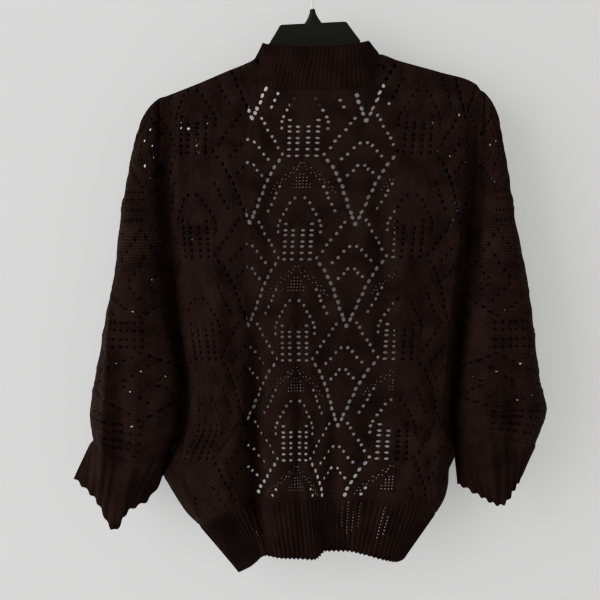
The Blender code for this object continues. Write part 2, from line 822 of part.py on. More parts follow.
def make_sleeve(side, face, cloth):
    down = sleeve_shares_at(side)
    size = (SLEEVE_CLOTH, SLEEVE_LENGTH[side])
    # the lace is turned a quarter turn on the sleeves
    turned = lace_holes(SLEEVE_LENGTH[side], SLEEVE_CLOTH, 130.0, -52.0 if face < 0 else 10.0, 8.0)
    holes = [(y, x, math.pi / 2 - slant) for x, y, slant in turned if y < 98]
    inside = grid_points(*size, 29, holes, 12.5, (6, 17, 97, 111), (3, 9, 16))
    out = {"left": {-1: -1, 1: 1}, "right": {-1: 1, 1: -1}}[side][face]
    gap = HALF_GAP * AWAY[side]

    def surface(u, v):
        return sleeve_surface(side, face, u, v)

    made = wall(
        f"sleeve_{side}_{'back' if face < 0 else 'front'}", surface, size,
        (down, down, shares(5), CUFF_SHARES), inside, holes, LACE_WALL, out,
        {"v0": "y", "u0": "y", "u1": side_rim(side, face), "v1": "z"},
        {"u1": (-gap, 0, 0), "v1": (0, 0, HALF_GAP)}, hole_sides=6 if face < 0 else 4,
    )
    return finished(made, cloth)


CUFF_SHARES = np.linspace(0, 1, 13)


def make_front(side, cloth):
    out = 1 if side == "left" else -1
    seam = band_seam_heights(side)
    v = np.linspace(0, 1, 4001)
    down = -front_surface(side, np.ones_like(v), v)[:, 2]
    inner = np.interp(seam, down, v)
    inner[0], inner[-1] = 0, 1
    size = (FRONT_CLOTH, 560.0)
    holes = lace_holes(*size, 4.0, 60.0, 8.0)
    holes = [hole for hole in holes if hole[0] > 22 and hole[1] > 60]
    inside = grid_points(*size, 29, holes, 12.5, (7, 17), (3, 8, 16))
    gap = HALF_GAP * AWAY[side]

    def surface(u, v):
        return front_surface(side, u, v)

    made = wall(
        f"front_{side}", surface, size, (front_shares_at(side), inner, shares(8), shares(3)),
        inside, holes, LACE_WALL, out,
        {"v0": "y", "u0": side_rim(side, 1), "u1": band_rim, "v1": "z"},
        {"u0": (gap, 0, 0), "u1": (-gap, 0, 0), "v1": (0, 0, HALF_GAP)}, hole_sides=4,
    )
    return finished(made, cloth)


def rib_points(width, height, turned, inset=4.0):
    """Points of a ribbed piece's skin: ridges and grooves across it, or down it if turned."""
    run, depth = (height, width) if turned else (width, height)
    count = 2 * int(round(run / (BAND_RIB_PITCH if turned else RIB_PITCH)))
    points = []
    for i in range(count):
        place = (i + 0.5) * run / count
        for level in (inset, depth - 1.2):
            points.append((level, place) if turned else (place, level))
    return points


def rib_relief(width, height, turned, inset=4.0):
    run, depth = (height, width) if turned else (width, height)
    count = 2 * int(round(run / (BAND_RIB_PITCH if turned else RIB_PITCH)))

    def relief(u, v):
        along, level = (v, u * depth) if turned else (u, v * depth)
        ridge = np.abs(np.sin(math.pi / 2 * (np.floor(along * count) % 2)))
        inside = (level > inset - 0.5) & (level < depth - 0.6)
        return RIB_RELIEF * ridge * inside

    return relief


def make_band(side, rib):
    out = 1 if side == "left" else -1
    table = BAND[side]
    row = np.arange(len(table["seam_down"]))
    fine = np.linspace(0, 1, 4001)
    down = through(row, table["seam_down"], fine * row[-1])
    heights = np.concatenate([band_seam_heights(side), np.linspace(table["seam_down"][11],
                              table["seam_down"][12], 3)[1:]])
    seam = np.interp(heights, down, fine)
    seam[0], seam[-1] = 0, 1
    size = (57.0, 640.0)
    gap = SEAM_GAP / 2 * AWAY[side]

    def surface(u, v):
        return band_surface(side, u, v)

    made = wall(
        f"band_{side}", surface, size, (seam, shares(13), shares(4), shares(4)),
        rib_points(*size, True), [], RIB_WALL, out, {"v0": "y", "u0": band_rim},
        {"u0": (gap, 0, 0)}, rib_relief(*size, True),
    )
    return finished(made, rib)


def make_collar(rib):
    low, high = neck_places()
    line = back_surface(low + (high - low) * NECK_SHARES, np.zeros_like(NECK_SHARES))
    row = COLLAR_TOP["share"]
    size = (230.0, 57.0)

    def surface(u, v):
        base = along_line(line, u)
        base[:, 0] += 3 * SEAM_GAP * np.cos(math.pi * u)
        base[:, 2] += 6 * SEAM_GAP * np.abs(np.cos(math.pi * u)) ** 12
        top = np.stack([
            through(row, COLLAR_TOP["x"], u), through(row, COLLAR_TOP["y"], u),
            -through(row, COLLAR_TOP["down"], u),
        ], axis=1)
        share = v[:, None]
        bulge = np.stack([np.zeros_like(u), -3.5 * np.sin(math.pi * v), np.zeros_like(u)], axis=1)
        return base * (1 - share) + top * share + bulge * np.sin(math.pi * u)[:, None]

    turns = shares(len(NECK_SHARES))

    made = wall(
        "collar", surface, size, (shares(5), shares(5), turns, turns),
        rib_points(*size, False), [], RIB_WALL, 1, {"v0": "z", "u0": "y", "u1": "y"},
        {"v0": (0, 0, 2 * SEAM_GAP)}, rib_relief(*size, False),
    )
    return finished(made, rib)


def make_hem_back(rib):
    line = back_surface(HEM_SHARES, np.ones_like(HEM_SHARES))
    size = (BACK_CLOTH, 72.0)

    def surface(u, v):
        base = along_line(line, u)
        cloth = u * BACK_CLOTH
        edge = np.stack([
            through(HEM_EDGE["cloth"], HEM_EDGE["x"], cloth),
            -through(HEM_EDGE["cloth"], HEM_EDGE["y"], cloth),
            -through(HEM_EDGE["cloth"], HEM_EDGE["down"], cloth),
        ], axis=1)
        share = v[:, None]
        mixed = base * (1 - share) + edge * share
        near = np.minimum(cloth, BACK_CLOTH - cloth)
        mixed[:, 1] = np.minimum(mixed[:, 1], -HALF_GAP - (RIB_WALL + 0.6) * round_edge(near, 3))
        return mixed

    made = wall(
        "hem_back", surface, size, (shares(4), shares(4), HEM_SHARES, HEM_SHARES),
        rib_points(*size, False), [], RIB_WALL, -1,
        {"u0": side_rim("left", -1), "u1": side_rim("right", -1), "v0": "z"},
        {"v0": (0, 0, -HALF_GAP)}, rib_relief(*size, False),
    )
    return finished(made, rib)


# The front hem's lower end stands this far off its band
HEM_CLEAR = 0.5


def make_hem_front(side, rib):
    table = BAND[side]
    line = front_surface(side, shares(3), np.ones(3))
    out = 1 if side == "left" else -1
    corner = {"left": (-93.0, 0.15, -775.0), "right": (116.0, 0.15, -755.0)}[side]
    size = (26.0, 62.0)
    gap = HALF_GAP * AWAY[side]

    def surface(u, v):
        seam_down = FRONT_END[side] + (table["seam_down"][12] - FRONT_END[side]) * v
        seam_x, seam_y = band_seam(side, seam_down)
        first = np.array([line[0]]) * (1 - v[:, None]) + np.array([corner]) * v[:, None]
        final = np.stack([seam_x - AWAY[side] * HEM_CLEAR * v, seam_y, -seam_down], axis=1)
        base = first * (1 - u[:, None]) + final * u[:, None]
        base[:, 1] = np.maximum(base[:, 1], HALF_GAP + RIB_WALL + 0.6)
        return base

    made = wall(
        f"hem_front_{side}", surface, size, (shares(6), shares(6), shares(3), shares(3)),
        [], [], RIB_WALL, out, {"u0": through_layer, "u1": band_rim, "v0": "z"},
        {"u1": (-gap, 0, 0), "v0": (0, 0, -2 * SEAM_GAP)},
    )
    return finished(made, rib)


def make_cuff(side, rib):
    back = sleeve_surface(side, -1, CUFF_SHARES, np.ones_like(CUFF_SHARES))
    front = sleeve_surface(side, 1, CUFF_SHARES, np.ones_like(CUFF_SHARES))
    ring = np.concatenate([back, front[::-1]])
    ring = np.concatenate([ring, ring[:1]])
    edge = CUFF_EDGE[side]
    size = (238.0, 66.0)
    ring_shares = np.linspace(0, 1, len(ring))

    def surface(u, v):
        base = along_line(ring, u)
        low = np.stack([
            through(edge["turn"], edge["x"], u), through(edge["turn"], edge["y"], u),
            -through(edge["turn"], edge["down"], u),
        ], axis=1)
        share = v[:, None]
        mixed = base * (1 - share) + low * share
        gather = GATHER_DEPTH * np.sin(2 * math.pi * u * CUFF_GATHERS[side]) * np.sin(math.pi * v)
        mixed[:, 1] += gather * np.sign(np.sin(2 * math.pi * u)) * np.abs(np.sin(2 * math.pi * u))
        return mixed

    out = -1 if side == "left" else 1
    made = wall(
        f"cuff_{side}", surface, size, (shares(4), shares(4), ring_shares, ring_shares),
        rib_points(*size, False), [], RIB_WALL, out, {"v0": "z"},
        {"v0": (0, 0, -HALF_GAP)}, rib_relief(*size, False), closed=True,
    )
    return finished(made, rib)


LABEL_LEFT, LABEL_RIGHT = -29.0, 25.0
LABEL_TOP, LABEL_LOW = 169.0, 190.0
LABEL_WALL = 0.8


def make_label(cloth):
    u = np.linspace(0, 1, 2001)
    top_x = back_surface(u, np.zeros_like(u))[:, 0]
    low, high = np.interp(LABEL_LEFT, top_x, u), np.interp(LABEL_RIGHT, top_x, u)
    first, last = (LABEL_TOP - 166) / 511, (LABEL_LOW - 166) / 511

    def surface(s, t):
        across, along = low + (high - low) * s, first + (last - first) * t
        normal = normals_of(back_surface, across, along, -1)
        return back_surface(across, along) - normal * (LACE_WALL + SEAM_GAP)

    size = (LABEL_RIGHT - LABEL_LEFT, LABEL_LOW - LABEL_TOP)
    made = wall(
        "label", surface, size, (shares(3), shares(3), shares(7), shares(7)),
        grid_points(*size, 10, [], 0), [], LABEL_WALL, -1, {},
    )
    return finished(made, cloth)


# ---------------------------------------------------------------- the hanger

NECK_TOP_HALF, NECK_TOP_DOWN = 45.0, 79.0
NECK_LOW_HALF, NECK_LOW_DOWN = 58.5, 104.0
ARM_ROOT = 66.0
ARM_TALL = 20.0
BOSS_TOP_DOWN, BOSS_LOW_RADIUS, BOSS_TOP_RADIUS = 61.0, 11.5, 3.4
BORE_RADIUS, BORE_DEPTH = 1.9, 12.0


def arm_top(x):
    return ARM_LINE_DOWN + x * math.tan(ARM_SLOPE)


def hanger_outline():
    """Half of the hanger's outline from its middle, over the neck and along an arm."""
    corner = [
        (NECK_TOP_HALF - 6 + 6 * math.sin(t), NECK_TOP_DOWN + 6 - 6 * math.cos(t))
        for t in np.radians([0, 25, 50, 75])
    ]
    flare = [(NECK_LOW_HALF, NECK_LOW_DOWN), (NECK_LOW_HALF + 1, arm_top(NECK_LOW_HALF))]
    arm = [(x, arm_top(x)) for x in (ARM_ROOT + 10, 120, 165, ARM_END - 8)]
    tip = [
        (ARM_END - 8 + 8 * math.sin(t), arm_top(ARM_END - 8) + 8 - 8 * math.cos(t))
        for t in np.radians([40, 90, 140])
    ]
    under = [(x, arm_top(x) + ARM_TALL + 3 * (1 - x / ARM_END)) for x in (182, 145, 108, 74)]
    middle = [(44, 138), (22, 134), (0, 133)]
    return [(0, NECK_TOP_DOWN)] + corner + flare + arm + tip + under + middle


def tilted(point):
    x, y, down = point
    c, s = math.cos(HANGER_TILT), math.sin(HANGER_TILT)
    return Vector((x * c + down * s, y, x * s - down * c)) * MM


def make_hanger_body(plastic):
    half = hanger_outline()
    outline = half + [(-x, down) for x, down in half[-2:0:-1]]
    curve = bpy.data.curves.new("hanger plate", "CURVE")
    curve.dimensions = "2D"
    curve.fill_mode = "BOTH"
    curve.extrude = (ARM_THICK / 2 - 1.2) * MM
    curve.bevel_depth = 1.2 * MM
    curve.bevel_resolution = 0
    curve.offset = -1.2 * MM
    line = curve.splines.new("POLY")
    line.points.add(len(outline) - 1)
    line.use_cyclic_u = True
    for point, (x, down) in zip(line.points, outline):
        point.co = (x * MM, -down * MM, 0, 1)
    plate = bpy.data.objects.new("hanger plate", curve)
    PARTS.objects.link(plate)
    bpy.context.view_layer.update()
    evaluated = plate.evaluated_get(bpy.context.evaluated_depsgraph_get())
    data = bpy.data.meshes.new_from_object(evaluated)
    bpy.data.objects.remove(plate)
    mesh = bmesh.new()
    mesh.from_mesh(data)
    bmesh.ops.remove_doubles(mesh, verts=mesh.verts, dist=1e-6)
    mesh.transform(Matrix.Rotation(math.radians(90), 4, "X"))
    mesh.transform(Matrix.Translation(Vector((HANGER_OFF_HOOK, 0, 0)) * MM))
    body = object_of("hanger_body", mesh)

    boss = object_of("hanger boss", boss_mesh())
    CUTTERS.objects.link(boss)
    PARTS.objects.unlink(boss)
    boss.hide_render = True
    boss.display_type = "WIRE"
    join = body.modifiers.new("boss", "BOOLEAN")
    join.operation = "UNION"
    join.solver = "EXACT"
    join.object = boss
    body.rotation_euler = (0, -HANGER_TILT, 0)
    boss.rotation_euler = (0, -HANGER_TILT, 0)
    return finished(body, plastic)


def boss_mesh():
    """The flared boss on the hanger's neck, turned round the hook's bore."""
    height = NECK_TOP_DOWN - BOSS_TOP_DOWN
    flare = [
        (BOSS_TOP_RADIUS + (BOSS_LOW_RADIUS - BOSS_TOP_RADIUS) * s**1.7, BOSS_TOP_DOWN + height * s)
        for s in (0, 0.25, 0.5, 0.75, 1)
    ]
    profile = [(BORE_RADIUS, BOSS_TOP_DOWN)] + flare + [(4.4, NECK_TOP_DOWN + 6)]
    sides = 16
    mesh = bmesh.new()
    rings = []
    for radius, down in profile:
        ring = []
        for i in range(sides):
            turn = 2 * math.pi * i / sides
            squeeze = min(1.0, (ARM_THICK / 2 - 0.4) / radius) if radius > BOSS_TOP_RADIUS else 1.0
            y = radius * math.sin(turn) * squeeze
            x = HANGER_OFF_HOOK + radius * math.cos(turn)
            ring.append(mesh.verts.new(Vector((x, y, -down)) * MM))
        rings.append(ring)
    bore = []
    for i in range(sides):
        turn = 2 * math.pi * i / sides
        y = BORE_RADIUS * math.sin(turn)
        low = -(BOSS_TOP_DOWN + BORE_DEPTH)
        x = HANGER_OFF_HOOK + BORE_RADIUS * math.cos(turn)
        bore.append(mesh.verts.new(Vector((x, y, low)) * MM))
    for upper, lower in zip(rings, rings[1:]):
        bmesh.ops.bridge_loops(mesh, edges=ring_edges(mesh, upper) + ring_edges(mesh, lower))
    bmesh.ops.bridge_loops(mesh, edges=ring_edges(mesh, rings[0]) + ring_edges(mesh, bore))
    mesh.faces.new(bore)
    mesh.faces.new(rings[-1])
    bmesh.ops.recalc_face_normals(mesh, faces=mesh.faces)
    return mesh


def ring_edges(mesh, ring):
    found = []
    for a, b in zip(ring, ring[1:] + ring[:1]):
        found.append(mesh.edges.get((a, b)) or mesh.edges.new((a, b)))
    return found


def make_hook(wire):
    """The wire hook: a stem out of the boss, a bend to the side and a turn over the rail."""
    radius = HOOK_INNER_RADIUS + WIRE_RADIUS
    centre = -HOOK_INNER_RADIUS
    start = math.radians(-45)
    foot = HANGER_OFF_HOOK
    stem = [(foot, -(BOSS_TOP_DOWN + BORE_DEPTH - 0.4)), (foot, -62), (foot, -55)]
    join = (radius * math.cos(start), centre + radius * math.sin(start))
    bend = []
    for s in (0.2, 0.4, 0.6, 0.8):
        a, b, c, d = (1 - s) ** 3, 3 * s * (1 - s) ** 2, 3 * s**2 * (1 - s), s**3
        lead = (join[0] - 8 * math.sin(math.radians(45)), join[1] - 8 * math.cos(math.radians(45)))
        x = (a + b) * foot + c * lead[0] + d * join[0]
        z = a * -55 + b * -45 + c * lead[1] + d * join[1]
        bend.append((x, z))
    turns = np.radians(np.linspace(-45, 205, 16))
    loop = [(radius * math.cos(t), centre + radius * math.sin(t)) for t in turns]
    points = stem + bend + loop
    curve = bpy.data.curves.new("hanger_hook", "CURVE")
    curve.dimensions = "3D"
    curve.bevel_depth = WIRE_RADIUS * MM
    curve.bevel_resolution = 1
    curve.use_fill_caps = True
    line = curve.splines.new("POLY")
    line.points.add(len(points) - 1)
    for point, (x, z) in zip(line.points, points):
        point.co = (*(tilted((x, 0, -z))), 1)
    hook = bpy.data.objects.new("hanger_hook", curve)
    PARTS.objects.link(hook)
    hook.data.materials.append(wire)
    return hook


for old in list(bpy.data.objects):
    bpy.data.objects.remove(old)
PARTS = collection_of("lace cardigan on a hanger")
CUTTERS = collection_of("cutters")

lace_cloth = material_of("lace knit", (36, 25, 21), 0.9)
rib_cloth = material_of("rib knit", (38, 27, 22), 0.92)
label_cloth = material_of("woven label", (22, 18, 18), 0.7)
black_plastic = material_of("moulded plastic", (18, 20, 20), 0.45)
steel_wire = material_of("steel wire", (190, 190, 188), 0.3, 1.0)

make_hook(steel_wire)
make_hanger_body(black_plastic)
make_back(lace_cloth)
for side in ("left", "right"):
    make_front(side, lace_cloth)
    make_band(side, rib_cloth)
    make_hem_front(side, rib_cloth)
    make_sleeve(side, -1, lace_cloth)
    make_sleeve(side, 1, lace_cloth)
    make_cuff(side, rib_cloth)
make_hem_back(rib_cloth)
make_collar(rib_cloth)
make_label(label_cloth)
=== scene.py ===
"""A dark brown lace cardigan on a hanger, seen from its back.

The pieces follow the order in which such a garment is knitted and put together. Tables and
surfaces are in millimetres, "down" is the distance below the hook's inside top, and meshes are
in metres. A lace piece is one skin of half-stitch cells over its surface and one inside it, with
the eyelets left open, and a ribbed piece is a corrugated wall.
"""

import math

import bpy
import numpy as np
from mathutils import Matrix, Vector


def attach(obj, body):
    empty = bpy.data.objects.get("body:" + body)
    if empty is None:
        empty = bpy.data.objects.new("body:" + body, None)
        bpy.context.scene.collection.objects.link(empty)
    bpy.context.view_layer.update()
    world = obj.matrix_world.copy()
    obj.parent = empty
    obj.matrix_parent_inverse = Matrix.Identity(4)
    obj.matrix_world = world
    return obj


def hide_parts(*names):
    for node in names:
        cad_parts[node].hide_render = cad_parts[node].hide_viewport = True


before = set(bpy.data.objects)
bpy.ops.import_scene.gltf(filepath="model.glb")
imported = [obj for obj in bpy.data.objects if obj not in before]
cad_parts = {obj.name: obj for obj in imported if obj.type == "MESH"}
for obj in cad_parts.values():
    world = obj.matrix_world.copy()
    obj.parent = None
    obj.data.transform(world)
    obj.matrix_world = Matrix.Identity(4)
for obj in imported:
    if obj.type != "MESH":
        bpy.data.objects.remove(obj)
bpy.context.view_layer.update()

# ---------------------------------------------------------------- camera, wall, floor and light
# The camera stands level with the middle of the garment, on the side of its back. Daylight comes
# from a window on the left, with a weak fill from the right, and the wall is close behind.

WIDTH_SEEN = 0.762
CAMERA_AWAY = 1.5
CAMERA_AT = (-0.0165, -CAMERA_AWAY, -0.4305)
FILM_WIDTH = 36

camera = bpy.data.objects.new("camera", bpy.data.cameras.new("camera"))
bpy.context.scene.collection.objects.link(camera)
camera.data.sensor_width = FILM_WIDTH
camera.data.lens = FILM_WIDTH * CAMERA_AWAY / WIDTH_SEEN
camera.location = CAMERA_AT
camera.rotation_euler = (math.radians(90), 0, 0)
bpy.context.scene.camera = camera


def linear(hex_colour):
    """An sRGB colour written in hex, as linear RGBA."""
    parts = [int(hex_colour[i : i + 2], 16) / 255 for i in (0, 2, 4)]
    return (*[c / 12.92 if c <= 0.04045 else ((c + 0.055) / 1.055) ** 2.4 for c in parts], 1)


def add(tree, kind, links=(), **settings):
    """A node of a material, with its inputs and properties set and its links made."""
    made = tree.nodes.new(kind)
    for name, value in settings.items():
        if name in made.inputs:
            made.inputs[name].default_value = value
        elif name.startswith("in_"):
            made.inputs[int(name[3:])].default_value = value
        else:
            setattr(made, name, value)
    for socket, source in links:
        tree.links.new(source, made.inputs[socket])
    return made


def material(name, **principled):
    """An empty material of a real stuff, and its shader."""
    made = bpy.data.materials.new(name)
    made.use_nodes = True
    shader = made.node_tree.nodes["Principled BSDF"]
    for socket, value in principled.items():
        shader.inputs[socket.replace("_", " ")].default_value = value
    return made, made.node_tree, shader


# emulsion paint, rolled: a fine uneven skin that shows only as a soft mottle
paint, tree, shader = material("emulsion paint", Roughness=0.9)
place = add(tree, "ShaderNodeTexCoord")
mottle = add(tree, "ShaderNodeTexNoise", [("Vector", place.outputs["Object"])], Scale=2.2, Detail=4)
tint = add(
    tree, "ShaderNodeMix", [("Factor", mottle.outputs["Fac"])], data_type="RGBA",
    in_6=linear("EEEEEE"), in_7=linear("F3F3F3"),
)
tree.links.new(tint.outputs[2], shader.inputs["Base Color"])
# a stage wall is painted on its room side only, so the garment's front shows from behind it
room_side = add(tree, "ShaderNodeNewGeometry")
open_side = add(tree, "ShaderNodeBsdfTransparent")
painted = add(
    tree, "ShaderNodeMixShader",
    [(0, room_side.outputs["Backfacing"]), (1, shader.outputs[0]), (2, open_side.outputs[0])],
)
tree.links.new(painted.outputs[0], tree.nodes["Material Output"].inputs["Surface"])

WALL_BEHIND = 0.065
WALL_WIDE, WALL_HIGH, WALL_MIDDLE = 7, 4, 0.4
FLOOR_BELOW = -1.25
ROOM_LIGHT = 1.07

bpy.ops.object.select_all(action="DESELECT")
bpy.ops.mesh.primitive_plane_add(size=1, location=(0, WALL_BEHIND, WALL_MIDDLE))
wall = bpy.context.object
wall.name = "wall"
wall.rotation_euler = (math.radians(90), 0, 0)
wall.scale = (WALL_WIDE, WALL_HIGH, 1)
bpy.ops.mesh.primitive_plane_add(
    size=WALL_WIDE, location=(0, WALL_BEHIND - WALL_WIDE / 2, FLOOR_BELOW)
)
floor = bpy.context.object
floor.name = "floor"
for surface in (wall, floor):
    surface.data.materials.append(paint)
    bpy.ops.object.select_all(action="DESELECT")
    surface.select_set(True)
    bpy.context.view_layer.objects.active = surface
    bpy.ops.object.transform_apply(location=True, rotation=True, scale=True)

world = bpy.data.worlds.new("room light")
bpy.context.scene.world = world
world.use_nodes = True
world.node_tree.nodes["Background"].inputs["Color"].default_value = linear("F2F1EE")
world.node_tree.nodes["Background"].inputs["Strength"].default_value = ROOM_LIGHT


def lamp(name, place, aim, size, watts):
    """A square soft lamp that points at a place."""
    made = bpy.data.objects.new(name, bpy.data.lights.new(name, "AREA"))
    bpy.context.scene.collection.objects.link(made)
    made.data.size = size
    made.data.energy = watts
    made.location = place
    made.rotation_euler = (Vector(aim) - Vector(place)).to_track_quat("-Z", "Y").to_euler()


lamp("window", (-2.4, -1.7, -0.1), (0, 0, -0.45), 2.8, 160)
lamp("fill", (1.8, -2.2, -0.2), (0, 0, -0.4), 1.8, 12)

# ---------------------------------------------------------------- the yarn
# A soft matt wool-blend yarn, spun and lightly brushed, so it has a short fuzz that catches light.
# The stitches are stocking stitch: columns of Vs, drawn from the piece's own UV map in stitches, both
# as a bump and as painted shade that darkens the dips between the strands.

STITCH = 4.13
STEP = 7.94
# the colour ramp's dark end also paints shade into the dips between strands, and its light end paints
# light onto the strands' tops
YARN_DARK_AND_SHADED, YARN_MID, YARN_LIGHT_AND_LIT = "0A0605", "110A09", "1E1411"
FUZZ = "5A4438"
LEG_LEANS, BEAD_SHARE, FUZZ_SHARE = -0.55, 0.55, 0.35
# the fuzz is a fine noise of 0.7 mm, and the dye takes unevenly over 25 mm
FUZZ_SCALE, DYE_SCALE = 1400.0, 40.0


def knit_material(name, stitches_deep):
    """Stocking stitch in the brushed yarn, with its stitches as deep as given, in metres."""
    made, tree, shader = material(
        name, Roughness=0.92, Sheen_Weight=0.05, Sheen_Roughness=0.55, Sheen_Tint=linear(FUZZ)
    )
    shader.inputs["Specular IOR Level"].default_value = 0.03
    shader.inputs["Specular Tint"].default_value = linear(FUZZ)
    cloth = add(tree, "ShaderNodeUVMap", uv_map="stitches")
    split = add(tree, "ShaderNodeSeparateXYZ", [("Vector", cloth.outputs["UV"])])
    column = add(tree, "ShaderNodeMath", [(0, split.outputs["X"])], operation="FRACT")
    centred = add(tree, "ShaderNodeMath", [(0, column.outputs[0])], operation="SUBTRACT", in_1=0.5)
    folded = add(tree, "ShaderNodeMath", [(0, centred.outputs[0])], operation="ABSOLUTE")
    leg = add(tree, "ShaderNodeMath", [(0, folded.outputs[0])], operation="MULTIPLY", in_1=2.0)
    # a leg of the V is a round strand across, and it leans outwards up the row
    lean = add(tree, "ShaderNodeMath", [(0, leg.outputs[0])], operation="MULTIPLY", in_1=LEG_LEANS)
    along = add(
        tree, "ShaderNodeMath", [(0, split.outputs["Y"]), (1, lean.outputs[0])], operation="ADD"
    )
    row = add(tree, "ShaderNodeMath", [(0, along.outputs[0])], operation="FRACT")
    wave = add(tree, "ShaderNodeMath", [(0, row.outputs[0])], operation="MULTIPLY", in_1=math.pi)
    bead = add(tree, "ShaderNodeMath", [(0, wave.outputs[0])], operation="SINE")
    turn = add(tree, "ShaderNodeMath", [(0, leg.outputs[0])], operation="MULTIPLY", in_1=math.pi)
    strand = add(tree, "ShaderNodeMath", [(0, turn.outputs[0])], operation="SINE")
    body = add(
        tree, "ShaderNodeMath", [(0, bead.outputs[0])], operation="MULTIPLY_ADD",
        in_1=BEAD_SHARE, in_2=1 - BEAD_SHARE,
    )
    stitch = add(
        tree, "ShaderNodeMath", [(0, strand.outputs[0]), (1, body.outputs[0])], operation="MULTIPLY"
    )
    place = add(tree, "ShaderNodeTexCoord")
    fuzz = add(
        tree, "ShaderNodeTexNoise", [("Vector", place.outputs["Object"])], Scale=FUZZ_SCALE, Detail=3.0
    )
    clouds = add(
        tree, "ShaderNodeTexNoise", [("Vector", place.outputs["Object"])], Scale=DYE_SCALE, Detail=3.0
    )
    height = add(
        tree, "ShaderNodeMath", [(0, fuzz.outputs["Fac"]), (2, stitch.outputs[0])],
        operation="MULTIPLY_ADD", in_1=FUZZ_SHARE,
    )
    bump = add(
        tree, "ShaderNodeBump", [("Height", height.outputs[0])], Strength=0.9, Distance=stitches_deep,
    )
    tree.links.new(bump.outputs["Normal"], shader.inputs["Normal"])
    # the colour is partly painted shade, lighter on the strands' tops and darker in the dips between
    # them, and partly the uneven take of the dye
    stitch_shade_and_dye = add(
        tree, "ShaderNodeMath", [(0, stitch.outputs[0]), (2, clouds.outputs["Fac"])],
        operation="MULTIPLY_ADD", in_1=BEAD_SHARE,
    )
    ramp = add(tree, "ShaderNodeValToRGB", [("Fac", stitch_shade_and_dye.outputs[0])])
    ramp.color_ramp.elements[0].position = 0.25
    ramp.color_ramp.elements[0].color = linear(YARN_DARK_AND_SHADED)
    ramp.color_ramp.elements[1].position = 1.05
    ramp.color_ramp.elements[1].color = linear(YARN_LIGHT_AND_LIT)
    middle = ramp.color_ramp.elements.new(0.62)
    middle.color = linear(YARN_MID)
    tree.links.new(ramp.outputs["Color"], shader.inputs["Base Color"])
    return made


lace_knit = knit_material("stocking stitch lace, wool blend", 0.0006)
rib_knit = knit_material("knitted rib, wool blend", 0.0005)

# ---------------------------------------------------------------- the back
# One lace panel from the shoulders to the hem. It is knitted upwards in 16 gauge stocking stitch
# with an ogee of eyelets: yarn overs beside slanting decreases leave the holes.

HALF_GAP = 0.15
LACE_THICK = 1.4
# Cloth over an arm of the hanger rolls round at this radius
ROLL = 9.0
# The two layers of the valley beside each sleeve keep this far from the middle plane, and at the
# underarm only this far, narrowing over the last stretch of the armhole
VALLEY, UNDERARM, VALLEY_NARROWS = 7.0, 3.2, 70.0
# Below the armhole the side fold closes over a short height, and takes the place of the valley
SIDE_CLOSES, SIDE_BEGINS = 16.0, 30.0


def columns(names, *rows):
    """A table as a dictionary of named columns."""
    return dict(zip(names.split(), np.array(rows, float).T))


def through(stops, values, at):
    """Smooth values between the rows of a table without overshoot, one column or a stack of them."""
    stops = np.asarray(stops, float)
    values = np.asarray(values, float)
    at = np.clip(np.asarray(at, float), stops[0], stops[-1])
    if values.ndim == 1:
        values = np.repeat(values[:, None], at.size, axis=1)
    gap = np.diff(stops)[:, None]
    rate = np.diff(values, axis=0) / gap
    slope = np.concatenate([rate[:1], np.zeros_like(rate[1:]), rate[-1:]])
    same = rate[:-1] * rate[1:] > 0
    heavy, light = 2 * gap[1:] + gap[:-1], gap[1:] + 2 * gap[:-1]
    safe_low = np.where(same, rate[:-1], 1)
    safe_high = np.where(same, rate[1:], 1)
    mean = (heavy + light) / (heavy / safe_low + light / safe_high)
    slope[1:-1] = np.where(same, mean, 0)
    row = np.clip(np.searchsorted(stops, at, side="right") - 1, 0, len(stops) - 2)
    each = np.arange(at.size)
    width = gap[row, 0]
    s = (at - stops[row]) / width
    low, high = values[row, each], values[row + 1, each]
    low_slope, high_slope = slope[row, each] * width, slope[row + 1, each] * width
    return (
        low * (1 + 2 * s) * (1 - s) ** 2
        + high * (3 - 2 * s) * s**2
        + low_slope * s * (1 - s) ** 2
        - high_slope * (1 - s) * s**2
    )


def ease(share):
    """A share from 0 to 1 that leaves and arrives softly."""
    share = np.clip(share, 0, 1)
    return share * share * (3 - 2 * share)


def round_edge(distance, radius):
    """How far a rolled edge has reached at a distance in from it, as a share of its radius."""
    share = np.clip(np.asarray(distance, float) / radius, 0, 1)
    return np.sqrt(1 - (1 - share) ** 2)


SHOULDER = columns(
    "x down",
    (-188, 172), (-147, 156), (-112, 141), (-77, 126), (-71, 122), (-66, 140), (-59, 158),
    (-48, 165), (5, 166), (60, 165), (71, 158), (77, 137), (82.5, 118), (107, 126), (161, 141),
    (207, 156), (213, 164),
)
NECK_LEFT, NECK_RIGHT = -71.0, 82.5

# Each side: the armhole in its valley, and below it the fold at the body's side, which reaches out
# to the cuff's inner edge, so no light comes through between body and sleeve
SIDE = {
    "left": columns(
        "down x",
        (172, -188), (220, -187), (279, -187), (325, -184), (401, -178), (447, -175), (490, -169),
        (532, -163), (584, -163), (624, -179.4), (638, -184.4), (651, -189.2), (663, -183.5),
        (675, -176.5), (700, -160), (714, -146),
    ),
    "right": columns(
        "down x",
        (164, 213), (220, 209), (279, 206), (325, 202), (399, 194), (446, 188), (490, 184),
        (535, 180), (570, 177), (596, 178.4), (612, 179.7), (624, 180.7), (634, 176.8), (645, 172.4),
        (658, 171.9), (675, 169), (685, 165), (698, 157),
    ),
}
ARMHOLE_TOP = {"left": 172.0, "right": 164.0}
ARMHOLE_END = {"left": 624.0, "right": 596.0}
BODY_END = {"left": 714.0, "right": 698.0}


def side_x(side, down):
    """Where a side's valley or fold lies at a height."""
    return through(SIDE[side]["down"], SIDE[side]["x"], down)


